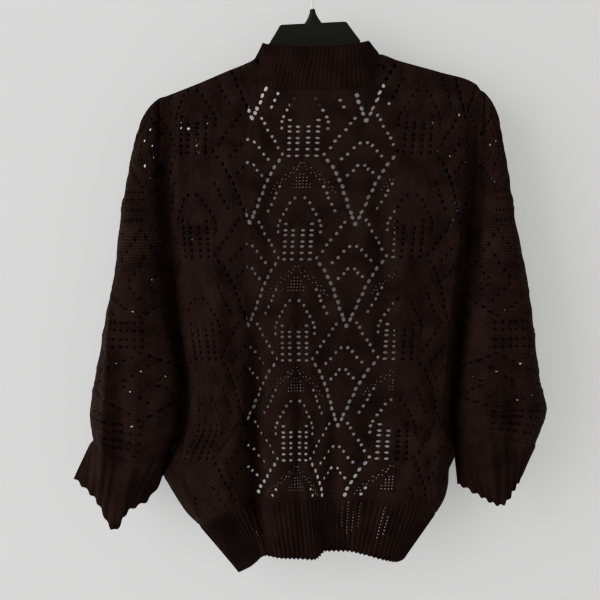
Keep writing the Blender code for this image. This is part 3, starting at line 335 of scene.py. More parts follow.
def valley_depth(side, down):
    """How far each layer lies from the middle plane at the armhole and at the side fold."""
    narrowing = ease((down - ARMHOLE_END[side] + VALLEY_NARROWS) / VALLEY_NARROWS)
    closing = ease((down - ARMHOLE_END[side]) / SIDE_CLOSES)
    low = VALLEY + (UNDERARM - VALLEY) * narrowing
    low = low + (HALF_GAP - low) * closing
    return np.maximum(low * round_edge(down - ARMHOLE_TOP[side], VALLEY), HALF_GAP)


# Lines of the lace down the back: a line of nodes, the ladders' axis and the next ones
BACK_LINES = columns(
    "down node_left axis node_right axis_right",
    (120, -75, -10, 75, 143),
    (199, -77, -12, 67, 135),
    (326, -79, -18, 53, 121),
    (458, -80, -24, 41, 108),
    (578, -83, -22, 30.5, 100),
    (714, -86, -22, 20, 90),
)
# Places of the lines along the cloth, from the left side
ACROSS = np.array([0.0, 20, 42, 117, 183, 249, 315, 368, 390, 410])
BACK_CLOTH = 410.0
LACE_AXIS = 183.0
FLANK_NEAR, FLANK_FAR = 12.0, 28.0

BACK_HEM = columns(
    "x down",
    (-146, 714), (-112, 697), (-86, 688), (-61, 681), (9, 677), (60, 678), (104, 682), (136, 688),
    (157, 698),
)
BACK_DEPTH = columns(
    "down depth",
    (120, 9.5), (172, 12), (220, 19), (280, 26), (350, 32), (420, 35), (490, 38), (550, 40),
    (624, 39), (675, 35), (714, 28),
)
CROWN = 4.0
NECK_DEPTH, NECK_ROUNDS = 17.0, 22.0
# The cloth swings out to its full depth over this height, and beside a valley or a side fold it
# rises over these widths
SETTLES, VALLEY_WIDE, FOLD_WIDE = 90.0, 20.0, 26.0

# Folds: a line down the cloth, its half width and how far it stands out (+) or in (-)
BACK_FOLDS = columns(
    "x_top down_top x_low down_low half_width out",
    (-72, 470, -75, 760, 13, -17),
    (-71, 400, -73, 760, 9, -12),
    (-28, 420, -28, 760, 36, 9),
    (-18, 380, -19, 760, 6, -5),
    (24, 520, 24, 760, 9, -8),
    (74, 480, 62, 760, 16, -4),
    (150, 560, 158, 720, 7, 6),
    (-128, 260, -112, 640, 15, 4),
    (122, 240, 128, 620, 16, 4),
    (-38, 190, -60, 420, 12, -3),
    (95, 200, 84, 470, 12, -3),
)


def folds(table, x, down):
    """What the folds of a table add, fading in from their top ends."""
    total = np.zeros_like(x)
    for top_x, top, low_x, low, half, out in zip(*table.values()):
        along = np.clip((down - top) / (low - top), 0, 1)
        line = top_x + (low_x - top_x) * along
        total += out * ease(along * 2.2) * np.exp(-(((x - line) / half) ** 2))
    return total


def back_x(across, down):
    """Where a line along the back's cloth lies at a height."""
    left, right = side_x("left", down), side_x("right", down)
    lines = [through(BACK_LINES["down"], BACK_LINES[name], down) for name in list(BACK_LINES)[1:]]
    low = [left, left + FLANK_NEAR, left + FLANK_FAR]
    high = [right - FLANK_FAR, right - FLANK_NEAR, right]
    return through(ACROSS, np.array(low + lines + high), across)


def level_of(outline, column_x, across, first):
    """Where each column of a piece meets an outline given as x and down."""
    down = np.full(across.shape, float(first))
    for _ in range(12):
        down = through(outline["x"], outline["down"], column_x(across, down))
    return down


def on_shoulder(x):
    """1 where the edge lies over the hanger's arms, 0 round the neck."""
    return np.maximum(ease((NECK_LEFT + 3 - x) / 12), ease((x - NECK_RIGHT + 3) / 12))


def back_surface(u, v):
    """The back's outer skin: u across from the left side, v from the top edge to the hem's seam."""
    across = u * BACK_CLOTH
    top = level_of(SHOULDER, back_x, across, 150)
    low = level_of(BACK_HEM, back_x, across, 690)
    rolled = on_shoulder(back_x(across, top))
    length = low - top + rolled * ROLL * (math.pi / 2 - 1)
    along = v * length
    turn = np.minimum(along / ROLL, math.pi / 2)
    rolled_drop = ROLL * (1 - np.cos(turn)) + np.maximum(along - ROLL * math.pi / 2, 0)
    down = top + rolled * rolled_drop + (1 - rolled) * along
    down = np.where(v >= 1, low, down)
    x = back_x(across, down)
    neck = NECK_DEPTH * round_edge(np.minimum(x - NECK_LEFT, NECK_RIGHT - x), NECK_ROUNDS)
    reach = np.maximum(ROLL * round_edge(down - top, ROLL), neck)
    left, right = side_x("left", down), side_x("right", down)
    crown = CROWN * (1 - ((2 * x - left - right) / (right - left)) ** 2)
    full = through(BACK_DEPTH["down"], BACK_DEPTH["depth"], down) + crown
    settled = ease((down - top) / SETTLES)
    depth = reach + (full - reach) * settled
    depth = depth + folds(BACK_FOLDS, x, down) * settled
    for side, near in (("left", x - left), ("right", right - x)):
        floor = np.minimum(valley_depth(side, down), np.maximum(reach, HALF_GAP))
        floor = np.where(down > top + ROLL, valley_depth(side, down), floor)
        below = ease((down - ARMHOLE_END[side]) / SIDE_BEGINS)
        wide = VALLEY_WIDE + (FOLD_WIDE - VALLEY_WIDE) * below
        rise = (1 - below) * ease(near / wide) + below * round_edge(near, wide)
        depth = floor + (depth - floor) * rise
    return np.stack([x, -np.maximum(depth, HALF_GAP), -down], axis=1)


# The eyelets of one half repeat: stitches from the ladder's axis, steps of two rows below an
# arch's apex, and the open hole: its width, height and slant. Long arches run from the ladder's
# foot to the node between two repeats, and everything mirrors about the ladder.
ARCH, NODE, RUNG = (5.0, 6.6, 0.45), (6.2, 6.8, 0.0), (5.9, 3.7, 0.0)
SLOPE, PLAIN = (4.4, 4.6, -0.5), (4.3, 4.5, 0.3)
EYELETS = (
    [(*at, ARCH) for at in (
        (7.0, 0), (8.3, 1), (9.5, 2), (10.5, 3), (11.3, 4), (12.1, 5), (12.8, 6), (13.5, 7),
        (14.3, 8), (15.1, 8.8),
    )]
    + [(16, 9.7, NODE)]
    + [(*at, PLAIN) for at in (
        (1.5, 5.7), (2.9, 6.5), (4, 7.4), (5, 8.3), (6, 9.2), (6.3, 10.1), (6.6, 11),
        (6.3, 3.9), (7.3, 4.9), (8.1, 5.8), (9.1, 6.8), (9.9, 7.8),
    )]
    + [(13.2 - 1.17 * k, 9.4 + 0.92 * k, SLOPE) for k in range(7)]
    + [(4, 9.75 + 0.9 * k, RUNG) for k in range(7)]
    + [(1.5, 10.65 + 0.9 * k, RUNG) for k in range(6)]
    + [(*at, SLOPE) for at in (
        (14.8, 13.2), (13.5, 14.1), (12.1, 15), (10.7, 15.8), (15.2, 0.75), (13.9, 1.5),
        (12.6, 2.3),
    )]
)
# Pinholes between the knit stitches: dotted lines inside the arch and a small fan at its top
PINHOLES = (
    [(0.5 + 0.62 * k + 0.4 * line, 0.2 + 0.27 * k + 0.5 * line)
     for k in range(14) for line in (0, 1, 2)]
    + [(0.5 + across, down) for down, wide in ((2, 0), (2.5, 1), (3, 1), (3.5, 2), (4, 2))
       for across in range(wide + 1)]
)
REPEAT_STITCHES, REPEAT_STEPS = 32, 16
CELL_ACROSS, CELL_DOWN = STITCH / 2, STEP / 4
PIN_CLOSES = 0.35
# Lines closer than this share of a cell to a panel's edge are left out
LEAST_CELL = 0.4


def cell_lines(length, through_line, cell):
    """Lines of a grid of cells that pass through one given line and end at a panel's edges."""
    first = through_line - math.ceil(through_line / cell) * cell
    lines = np.arange(first, length + cell, cell)
    lines = lines[(lines > LEAST_CELL * cell) & (lines < length - LEAST_CELL * cell)]
    return np.concatenate([[0.0], lines, [length]])


# Where the cloth isn't stretched an eyelet closes to a slit along its column of stitches
SLIT_WIDE, SLIT_TALL = 0.45, 0.85
STRETCHED = 0.92
PINS_OPEN_AT = 0.9


def eyelets_on(across, down, axis, apex, keep=None, stretched=None):
    """The grid corners that are eyelets, each with its shape, and the cells that are pinholes.

    keep says for the whole grid where there may be any, and stretched how far the cloth is
    stretched there, from 0 to 1.
    """
    found, pins = [], []
    allowed = np.ones((len(down), len(across)), bool) if keep is None else keep
    opened = np.zeros((len(down), len(across))) if stretched is None else stretched
    pinned = opened > PINS_OPEN_AT
    taken = np.zeros((len(down), len(across)), bool)
    wide, tall = REPEAT_STITCHES * STITCH, REPEAT_STEPS * STEP
    repeats = [
        (side, axis + turn * wide, apex + row * tall)
        for row in range(int((down[0] - apex) / tall) - 2, int((down[-1] - apex) / tall) + 2)
        for turn in range(int(-axis / wide) - 2, int((across[-1] - axis) / wide) + 3)
        for side in (-1, 1)
    ]

    def spot(at_a, at_b):
        i, j = int(np.argmin(np.abs(across - at_a))), int(np.argmin(np.abs(down - at_b)))
        # an eyelet leaves at least two rows of cells uncut along every edge
        inside = 2 < i < len(across) - 3 and 2 < j < len(down) - 3
        near = abs(across[i] - at_a) < STITCH and abs(down[j] - at_b) < STEP
        return (i, j) if inside and near and allowed[j, i] else None

    for side, line, level in repeats:
        for stitches, steps, shape in EYELETS:
            at = spot(line + side * stitches * STITCH, level + steps * STEP)
            if at is None or taken[at[1] - 1 : at[1] + 2, at[0] - 1 : at[0] + 2].any():
                continue
            i, j = at
            taken[j - 1 : j + 2, i - 1 : i + 2] = True
            wide_open = shape[0] * (SLIT_WIDE + (STRETCHED - SLIT_WIDE) * opened[j, i])
            tall_open = shape[1] * (SLIT_TALL + (STRETCHED - SLIT_TALL) * opened[j, i])
            found.append((j, i, (wide_open, tall_open), side * shape[2]))
    for side, line, level in repeats:
        for stitches, steps in PINHOLES:
            at = spot(line + side * stitches * STITCH, level + steps * STEP)
            if at is None or taken[at[1] : at[1] + 2, at[0] : at[0] + 2].any():
                continue
            i, j = at
            if not pinned[j, i]:
                continue
            taken[j : j + 2, i : i + 2] = True
            pins.append((j, i))
    return found, pins


# Raised lines of travelling stitches beside the eyelets, as stitches and steps, in one half repeat
RAISED = (
    ((4.6, 0), (8, 3), (11.2, 6.5), (14, 9.4)),
    ((9, -0.4), (12, 3), (15, 7.2)),
    ((11.7, 9.3), (4.8, 14.7)),
    ((14.6, 10.2), (8, 15.6)),
    ((0, 9.6), (0, 15.6)),
    ((2.75, 9.8), (2.75, 15.6)),
    ((5.3, 10), (5.3, 15)),
    ((0, 0.8), (0, 5)),
    ((0.8, 0.8), (4.4, 4.8)),
    ((0, 7), (3.9, 11.2)),
    ((16, 10.8), (16, 15.6)),
    ((13.6, 12.4), (9.8, 15.2)),
)
RAISED_WIDE = 2.6
UNEVEN = 0.22
# The corners and middles round two by two cells, which join into one face of the inner skin
AROUND = ((0, 0), (0, 1), (0, 2), (1, 2), (2, 2), (2, 1), (2, 0), (1, 0))


def lace_relief(axis, apex, height, waves):
    """The relief of a lace piece: raised lines, a little unevenness and soft waves 33 mm wide."""

    def relief(a, b):
        wide, tall = REPEAT_STITCHES * STITCH, REPEAT_STEPS * STEP
        x = np.abs((a - axis + wide / 2) % wide - wide / 2)
        y = (b - apex) % tall
        nearest = np.full(a.shape, 1e9)
        for line in RAISED:
            for (u0, k0), (u1, k1) in zip(line, line[1:]):
                for turn in (-tall, 0, tall):
                    start = np.array([u0 * STITCH, k0 * STEP + turn])
                    step = np.array([u1 * STITCH, k1 * STEP + turn]) - start
                    share = ((x - start[0]) * step[0] + (y - start[1]) * step[1]) / (step @ step)
                    share = np.clip(share, 0, 1)
                    off_x = x - start[0] - share * step[0]
                    off_y = y - start[1] - share * step[1]
                    nearest = np.minimum(nearest, off_x**2 + off_y**2)
        ridge = height * np.exp(-nearest / RAISED_WIDE**2)
        uneven = np.sin(a * 0.93 + 2 * np.sin(b * 0.37)) * np.sin(b * 1.07 + 2 * np.sin(a * 0.29))
        soft = waves * np.sin(2 * math.pi * (a / 33 + 0.35 * np.sin(b / 71)) + 1.7 * np.sin(a / 90))
        return ridge + UNEVEN * uneven + soft

    return relief


def knit_shell(
    name, place, across, down, side, thick, cloth, holes=((), ()), relief=None, gauge=None,
):
    """A knitted wall: place turns cloth millimetres across and down into the outer skin's points.

    side is 1 where across x down points outwards, or -1. Each eyelet takes out the four cells
    round a grid corner and rounds the hole. The inner skin joins cells away from the eyelets.
    """
    a, b = np.meshgrid(across, down)
    rows, cols = a.shape
    cut = np.zeros((rows - 1, cols - 1), bool)
    near = np.zeros((rows, cols), bool)
    eyelets, pins = holes
    for j, i in pins:
        cut[j, i] = True
        near[j : j + 2, i : i + 2] = True
        middle = across[i] + across[i + 1], down[j] + down[j + 1]
        for dj in (0, 1):
            for di in (0, 1):
                a[j + dj, i + di] += PIN_CLOSES * (middle[0] / 2 - a[j + dj, i + di])
                b[j + dj, i + di] += PIN_CLOSES * (middle[1] / 2 - b[j + dj, i + di])
    for j, i, (wide, tall), slant in eyelets:
        cut[j - 1 : j + 1, i - 1 : i + 1] = True
        near[j - 1 : j + 2, i - 1 : i + 2] = True
        for dj in (-1, 0, 1):
            for di in (-1, 0, 1):
                if dj == 0 and di == 0:
                    continue
                turn = math.atan2(dj * CELL_DOWN, di * CELL_ACROSS)
                x, y = wide / 2 * math.cos(turn), tall / 2 * math.sin(turn)
                a[j + dj, i + di] = across[i] + x * math.cos(slant) + y * math.sin(slant)
                b[j + dj, i + di] = down[j] + y * math.cos(slant) - x * math.sin(slant)
    outer = place(a.ravel(), b.ravel()).reshape(rows, cols, 3)
    run = np.gradient(outer, axis=1)
    fall = np.gradient(outer, axis=0)
    normal = np.cross(run, fall) * side
    size = np.linalg.norm(normal, axis=2)
    # where a trimmed edge leaves rows on one spot, the nearest row's normal stands in
    for i in range(cols):
        good = np.flatnonzero(size[:, i] > 0.05)
        nearest = good[np.abs(np.arange(rows)[:, None] - good).argmin(axis=1)]
        normal[:, i] = normal[nearest, i] / size[nearest, i, None]
    if relief is not None:
        outer = outer + normal * relief(a, b)[:, :, None]
    inner = outer - normal * thick
    count = rows * cols
    index = np.arange(count).reshape(rows, cols)
    diagonals = np.cross(outer[1:, 1:] - outer[:-1, :-1], outer[1:, :-1] - outer[:-1, 1:])
    kept = ~cut & (np.linalg.norm(diagonals, axis=2) > 0.02)
    cells = np.stack([index[:-1, :-1], index[:-1, 1:], index[1:, 1:], index[1:, :-1]], axis=2)
    quads = cells[kept]
    if side < 0:
        quads = quads[:, ::-1]
    edges = np.concatenate([quads[:, [k, (k + 1) % 4]] for k in range(4)])
    key = np.sort(edges, axis=1)
    _, first, times = np.unique(key, axis=0, return_index=True, return_counts=True)
    rim = edges[first[times == 1]]
    rims = np.stack([rim[:, 1], rim[:, 0], rim[:, 0] + count, rim[:, 1] + count], axis=1)
    # inner skin: two by two cells become one face away from eyelets and edges
    high, wide = (rows - 1) // 2, (cols - 1) // 2
    whole = np.zeros((high + 2, wide + 2), bool)
    for bj in range(high):
        for bi in range(wide):
            j, i = 2 * bj, 2 * bi
            clear = kept[j : j + 2, i : i + 2].all() and not near[j : j + 3, i : i + 3].any()
            whole[bj + 1, bi + 1] = clear
    single = kept.copy()
    faces = quads.tolist() + rims.tolist()
    for bj, bi in np.argwhere(whole[1:-1, 1:-1]):
        j, i = 2 * bj, 2 * bi
        single[j : j + 2, i : i + 2] = False
        ring = [
            int(index[j + dj, i + di]) + count for dj, di in AROUND
            if (dj + di) % 2 == 0 or not whole[bj + dj, bi + di]
        ]
        faces.append(ring[::-1] if side > 0 else ring)
    small = cells[single] + count
    faces += (small[:, ::-1] if side > 0 else small).tolist()
    points = np.concatenate([outer.reshape(-1, 3), inner.reshape(-1, 3)]) * 0.001
    used = np.zeros(2 * count, bool)
    used[[k for face in faces for k in face]] = True
    renumber = np.cumsum(used) - 1
    mesh = bpy.data.meshes.new(name)
    faces = [[int(renumber[k]) for k in face] for face in faces]
    mesh.from_pydata(points[used].tolist(), [], faces)
    stitch_wide, row_tall = gauge or (STITCH, STEP / 2)
    flat = np.stack([a.ravel() / stitch_wide, -b.ravel() / row_tall], axis=1)
    flat = np.concatenate([flat, flat])[used]
    layer = mesh.uv_layers.new(name="stitches")
    corners = np.empty(len(mesh.loops), np.int32)
    mesh.loops.foreach_get("vertex_index", corners)
    layer.data.foreach_set("uv", flat[corners].astype(np.float32).ravel())
    mesh.update()
    made = bpy.data.objects.new(name, mesh)
    bpy.context.scene.collection.objects.link(made)
    mesh.materials.append(cloth)
    mesh.shade_smooth()
    return made


LACE_APEX = 87.0
# Levels of the lace down the back: its rows are straight across, a little closer near the hem
LEVELS = columns(
    "cloth down",
    (-64, 100), (-40, 124), (87, 256.5), (214, 386), (341, 510.5), (468, 633), (560, 722),
)


def down_the_back(a, b):
    """How far a spot of the lace lies below the back's top edge and above its hem seam."""
    top = level_of(SHOULDER, back_x, a, 150)
    low = level_of(BACK_HEM, back_x, a, 690)
    level = through(LEVELS["cloth"], LEVELS["down"], b)
    return level - top, low - level


def on_back(a, b):
    """The back at cloth a across, and at level b, which is cut off at its two edges."""
    below, above = down_the_back(a, b)
    return back_surface(a / BACK_CLOTH, np.clip(below / (below + above), 0, 1))


def faded(relief):
    """A relief that sinks to nothing at the back's edges."""

    def near_edges(a, b):
        below, above = down_the_back(a.ravel(), b.ravel())
        sides = np.minimum(a, BACK_CLOTH - a)
        inside = ease((below.reshape(a.shape) - 8) / 12) * ease(above.reshape(a.shape) / 10)
        return relief(a, b) * inside * ease((sides - 2) / 12)

    return near_edges


# Between the two bands there is one layer, stretched by the hem's pull
STRIP_LEFT, STRIP_RIGHT, STRIP_FADES = -86.0, 107.0, 12.0
# Over the shoulders the hanger stretches both layers, a little less than the strip
SHOULDER_OPEN = 0.7

# The rows of cells reach from above the shoulders to below the hem's seam
across = cell_lines(BACK_CLOTH, LACE_AXIS, CELL_ACROSS)
down = LACE_APEX + CELL_DOWN * np.arange(-76, 239)
spots = [line.ravel() for line in np.meshgrid(across, down)]
below, above = (far.reshape(-1, len(across)) for far in down_the_back(*spots))
strip_x = on_back(*spots)[:, 0].reshape(below.shape)
single_layer = ease((strip_x - STRIP_LEFT) / STRIP_FADES + 0.5)
single_layer *= ease((STRIP_RIGHT - strip_x) / STRIP_FADES + 0.5)
shoulders = ease((210 - down) / 50)[:, None] * ease((np.abs(across - BACK_CLOTH / 2) - 135) / 20)
back = knit_shell(
    "back_lace", on_back, across, down, -1, LACE_THICK, lace_knit,
    eyelets_on(
        across, down, LACE_AXIS, LACE_APEX, (below > 6) & (above > 5),
        np.maximum(single_layer, SHOULDER_OPEN * shoulders),
    ),
    faded(lace_relief(LACE_AXIS, LACE_APEX, 0.9, 0.8)),
)
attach(back, "root")
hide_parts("back")

# ---------------------------------------------------------------- the sleeves
# Each is a lace tube from the shoulder to the cuff, with the pattern turned a quarter turn. It is
# made in two lengths here, one behind and one in front, that meet along the arm.

# From the shoulder to the cuff's seam: the overarm edge, the armhole's height, the inner edge that
# hangs over the valley, the depths of the sleeve's back and front, and how far a row sags
SLEEVE = {
    "left": columns(
        "over_x over_down arm_down inner_x back front sag",
        (-218, 202, 172, -196, 12, 11, -7),
        (-227, 232, 220, -195, 17, 14, -3),
        (-236, 278, 279, -196, 28, 20, 0),
        (-244, 325, 325, -194, 35, 24, 0),
        (-252, 401, 401, -188, 42, 28, 2),
        (-262, 447, 447, -182, 44, 29, 3),
        (-269, 490, 490, -175, 46, 30, 3),
        (-277, 532, 532, -169, 47, 31, 4),
        (-283, 574, 584, -171, 44, 30, 7),
        (-279, 608, 624, -186, 35, 27, 13),
    ),
    "right": columns(
        "over_x over_down arm_down inner_x back front sag",
        (236, 199, 164, 218, 12, 11, -7),
        (241, 232, 220, 217, 17, 14, -3),
        (248, 273, 279, 216, 28, 20, 0),
        (255, 324, 325, 212, 35, 24, 0),
        (269, 394, 399, 204, 42, 28, 1),
        (277, 446, 446, 195, 44, 29, 2),
        (282, 490, 490, 190, 46, 30, 2),
        (288, 535, 535, 186, 47, 31, 0),
        (296, 568, 570, 181, 45, 30, -2),
        (282, 612, 596, 181, 36, 27, -3),
    ),
}
# How far the sleeve's lower end stands off the body's side
CUFF_OFF_SIDE = 0.4
SLEEVE_CLOTH = 122.0
SLEEVE_LENGTH = 425.0
# A sleeve's section: places along the cloth, the share of its width and the share of its depth
SECTION = columns(
    "cloth wide deep",
    (0, 0, 0), (5, 0.006, 0.16), (17, 0.05, 0.5), (33, 0.16, 0.82), (47, 0.33, 0.97), (61, 0.52, 1),
    (78, 0.76, 0.95), (93, 0.95, 0.72), (106, 1.0, 0.42),
)
SLEEVE_FOLDS = {
    "left": columns(
        "x_top down_top x_low down_low half_width out",
        (-249, 395, -262, 640, 9, 7),
        (-249, 360, -262, 640, 3.4, 4.6),
        (-236, 470, -241, 640, 9, -4),
        (-213, 330, -222, 600, 12, 3),
    ),
    "right": columns(
        "x_top down_top x_low down_low half_width out",
        (246, 520, 247, 612, 10, -9),
        (222, 300, 214, 600, 12, 3),
        (262, 380, 276, 600, 12, 4),
    ),
}
AWAY = {"left": 1.0, "right": -1.0}


def sleeve_surface(side, face, u, v):
    """A sleeve's outer skin: u from the overarm edge to the armhole, v from shoulder to cuff."""
    table = SLEEVE[side]
    place = v * (len(table["sag"]) - 1)
    row = np.arange(len(table["sag"]))
    over_x, over_down, arm_down, inner_x, back, front, sag = (
        through(row, column, place) for column in table.values()
    )
    arm_x = side_x(side, arm_down) - AWAY[side] * CUFF_OFF_SIDE * ease(place - row[-2])
    floor = np.maximum(valley_depth(side, arm_down), HALF_GAP)
    depth = np.where(face < 0, back, front)
    width = inner_x - over_x
    cloth = u * SLEEVE_CLOTH
    stops = np.append(SECTION["cloth"], (SLEEVE_CLOTH - 4, SLEEVE_CLOTH))
    last_x = [0.25 * inner_x + 0.75 * arm_x, arm_x]
    wide = [over_x + width * share for share in SECTION["wide"]]
    deep = [depth * share for share in SECTION["deep"]]
    x = through(stops, np.array(wide + last_x), cloth)
    y = through(stops, np.array(deep + [floor + 0.6, floor]), cloth)
    share = np.clip((x - over_x) / (arm_x - over_x), 0, 1)
    down = over_down + (arm_down - over_down) * share + sag * 4 * share * (1 - share)
    if face < 0:
        y = y + folds(SLEEVE_FOLDS[side], x, down) * np.sin(math.pi * np.clip(u * 1.1, 0, 1)) ** 0.5
    # the sleeve's head rolls over the shoulder, and the table's rows are about 40 mm apart
    y = y * round_edge(place * 40, 12)
    floor_here = np.minimum(floor, np.maximum(y, HALF_GAP))
    y = np.where(u >= 1, floor_here, y)
    y = np.where(u >= 1, valley_depth(side, down), y)
    return np.stack([x, face * np.maximum(y, HALF_GAP), -down], axis=1)


def on_tube(relief):
    """A relief that sinks to nothing at a sleeve's edges."""

    def near_edges(a, b):
        inside = ease((np.minimum(b, SLEEVE_CLOTH - b) - 1) / 10)
        return relief(a, b) * inside * ease((a - 6) / 14) * ease((SLEEVE_LENGTH - a) / 10)

    return near_edges


SLEEVE_AXIS = 130.0
SLEEVE_APEX = {-1: -52.0, 1: 10.0}

for side in ("left", "right"):
    for face in (-1, 1):
        name = f"sleeve_{side}_{'back' if face < 0 else 'front'}"
        across = cell_lines(SLEEVE_LENGTH, SLEEVE_AXIS, CELL_ACROSS)
        down = cell_lines(SLEEVE_CLOTH, SLEEVE_APEX[face] % (REPEAT_STEPS * STEP), CELL_DOWN)

        def on_sleeve(a, b, side=side, face=face):
            return sleeve_surface(side, face, b / SLEEVE_CLOTH, a / SLEEVE_LENGTH)

        outward = {"left": 1, "right": -1}[side] * (1 if face < 0 else -1)
        made = knit_shell(
            name + "_lace", on_sleeve, across, down, outward, LACE_THICK, lace_knit,
            eyelets_on(
                across, down, SLEEVE_AXIS, SLEEVE_APEX[face],
                stretched=np.repeat(
                    [SHOULDER_OPEN * ease((110 - across) / 30)], len(down), axis=0
                ),
            ),
            on_tube(lace_relief(SLEEVE_AXIS, SLEEVE_APEX[face], 1.0, 0.5)),
        )
        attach(made, "root")
        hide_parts(name)

# ---------------------------------------------------------------- the fronts
# Two narrow lace panels that hang open, joined to the back over the shoulder and at the side fold
# below the armhole. In the photo they are only the dark layer behind the back's eyelets.

# The band's seam on the front, and the band's free edge
BAND = {
    "left": columns(
        "seam_x seam_down seam_y free_x free_down free_y",
        (-71, 122, 0.15, -63, 105, 0.3),
        (-77, 129, 4.5, -59.5, 104, 20),
        (-84, 137, 7.5, -56, 112, 34),
        (-95, 151, 9.5, -62, 130, 36),
        (-121, 189, 13, -79, 160, 31),
        (-136, 234, 16, -86, 205, 28),
        (-142, 278, 18, -87, 265, 27),
        (-143, 329, 20, -87, 325, 27),
        (-143, 450, 24, -86, 450, 30),
        (-140, 560, 24, -86, 560, 34),
        (-134, 640, 20, -86, 640, 38),
        (-126, 704, 12, -87, 704, 44),
        (-99, 746, 6, -83, 750, 46),
    ),
    "right": columns(
        "seam_x seam_down seam_y free_x free_down free_y",
        (82.5, 118, 0.15, 70.5, 102.5, 0.3),
        (88, 125, 5, 67, 102, 20),
        (95, 135, 8.5, 66, 110, 34),
        (105, 151, 9.5, 76, 130, 36),
        (133, 189, 13, 98, 160, 31),
        (151, 234, 16, 107, 205, 28),
        (161, 278, 18, 107, 265, 27),
        (164, 329, 20, 107, 325, 27),
        (160, 450, 24, 107, 450, 30),
        (152, 560, 24, 107, 560, 34),
        (145, 630, 20, 107, 630, 38),
        (137, 690, 12, 107, 692, 44),
        (111, 735, 6, 101, 740, 46),
    ),
}
FRONT_END = {"left": 704.0, "right": 690.0}
FRONT_BULGE = 6.0
FRONT_CLOTH = 70.0


def band_seam(side, down):
    """Where the band's seam lies on a front at a height: its x and y."""
    table = BAND[side]
    x = through(table["seam_down"], table["seam_x"], down)
    return x, through(table["seam_down"], table["seam_y"], down)


def front_x(side):
    """Where a line along a front's cloth lies at a height."""
    def column_x(share, down):
        return side_x(side, down) * (1 - share) + band_seam(side, down)[0] * share

    return column_x


def front_surface(side, u, v):
    """A front's outer skin: u from the side to the band's seam, v from the top edge to the hem."""
    column_x = front_x(side)
    top = level_of(SHOULDER, column_x, np.clip(u, 0, 0.999), 160)
    top = np.where(u >= 1, BAND[side]["seam_down"][0], top)
    low = BODY_END[side] + (FRONT_END[side] - BODY_END[side]) * u
    length = low - top + ROLL * (math.pi / 2 - 1)
    along = v * length
    turn = np.minimum(along / ROLL, math.pi / 2)
    down = top + ROLL * (1 - np.cos(turn)) + np.maximum(along - ROLL * math.pi / 2, 0)
    down = np.where(v >= 1, low, down)
    x = column_x(u, down)
    edge = band_seam(side, down)[1]
    floor = valley_depth(side, down)
    reach = ROLL * round_edge(down - top, ROLL)
    below = ease((down - ARMHOLE_END[side]) / SIDE_BEGINS)
    rise = (1 - below) * ease(u / 0.55) + below * round_edge(u, 0.6)
    y = floor + (edge - floor) * rise + FRONT_BULGE * np.sin(math.pi * u) * ease((down - 160) / 90)
    y = reach + (y - reach) * ease((down - top) / 60)
    y = np.maximum(y, reach * ease(8 * u))
    y = np.where(u <= 0, floor, y)
    y = np.where(u >= 1, edge, y)
    return np.stack([x, np.maximum(y, HALF_GAP), -down], axis=1)


def band_surface(side, u, v):
    """A band's outer skin: u from its seam to its free edge, v from the neck to the hem."""
    table = BAND[side]
    row = np.arange(len(table["seam_x"]))
    place = v * row[-1]
    values = [through(row, column, place) for column in table.values()]
    seam_x, seam_down, seam_y, free_x, free_down, free_y = values
    # the seam's edge follows the front's own line
    seam_x, seam_y = band_seam(side, seam_down)
    bulge = 5 * np.sin(math.pi * u) * (0.3 + 0.7 * np.sin(math.pi * np.clip(v * 1.3, 0, 1)))
    x = seam_x + (free_x - seam_x) * u
    y = seam_y + (free_y - seam_y) * u + bulge
    down = seam_down + (free_down - seam_down) * u
    return np.stack([x, y, -down], axis=1)


FRONT_LONG = 560.0
FRONT_AXIS, FRONT_APEX = 4.0, 60.0
FRONT_OPEN = 0.85
for side in ("left", "right"):
    across = cell_lines(FRONT_CLOTH, FRONT_AXIS, CELL_ACROSS)
    down = cell_lines(FRONT_LONG, FRONT_APEX, CELL_DOWN)

    def on_front(a, b, side=side):
        return front_surface(side, a / FRONT_CLOTH, b / FRONT_LONG)

    made = knit_shell(
        f"front_{side}_lace", on_front, across, down, 1 if side == "left" else -1, LACE_THICK,
        lace_knit, eyelets_on(
            across, down, FRONT_AXIS, FRONT_APEX, (across > 14) & (down > 40)[:, None],
            FRONT_OPEN * ease((240 - down) / 60)[:, None] * np.ones_like(across),
        ),
    )
    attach(made, "root")
    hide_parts(f"front_{side}")

# ---------------------------------------------------------------- bands, hem, cuffs and collar
# Two by two rib in the same yarn: pairs of knit columns stand out and pairs of purl ones sink in,
# 7.2 mm from ridge to ridge. Collar and bands are one strip, picked up round the front edge.

RIB_PITCH = 7.2
CUFF_RIB_PITCH = 10.8
SCALLOP, CUFF_SCALLOP = 0.8, 1.28
RIB_DEEP = 1.9
RIB_THICK = 1.5
RIB_GAUGE, BAND_GAUGE = (1.8, 2.9), (2.9, 2.9)
BAND_CLOTH, BAND_LONG = 57.0, 640.0


def ribbed(run_length, along_across, pitch=RIB_PITCH, deep=RIB_DEEP):
    """The height of a rib's ridges, across the run or down it, sinking to nothing at the seam."""
    ribs = round(run_length / pitch)

    def relief(a, b):
        run, level = (a, b) if along_across else (b, a)
        # the ribs wander a little from straight
        drift = 0.14 * np.sin(2 * math.pi * run / run_length * 5 + level / 31)
        wave = np.cos(2 * math.pi * (run / run_length * ribs + drift))
        return deep * (0.5 + 0.5 * np.tanh(1.6 * wave) / np.tanh(1.6)) * ease((level - 0.5) / 6)

    return relief


for side in ("left", "right"):

    def on_band(a, b, side=side):
        return band_surface(side, a / BAND_CLOTH, b / BAND_LONG)

    made = knit_shell(
        f"band_{side}_rib", on_band, np.linspace(0, BAND_CLOTH, 16), np.linspace(0, BAND_LONG, 535),
        1 if side == "left" else -1, RIB_THICK, rib_knit, relief=ribbed(BAND_LONG, False),
        gauge=BAND_GAUGE,
    )
    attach(made, "root")
    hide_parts(f"band_{side}")

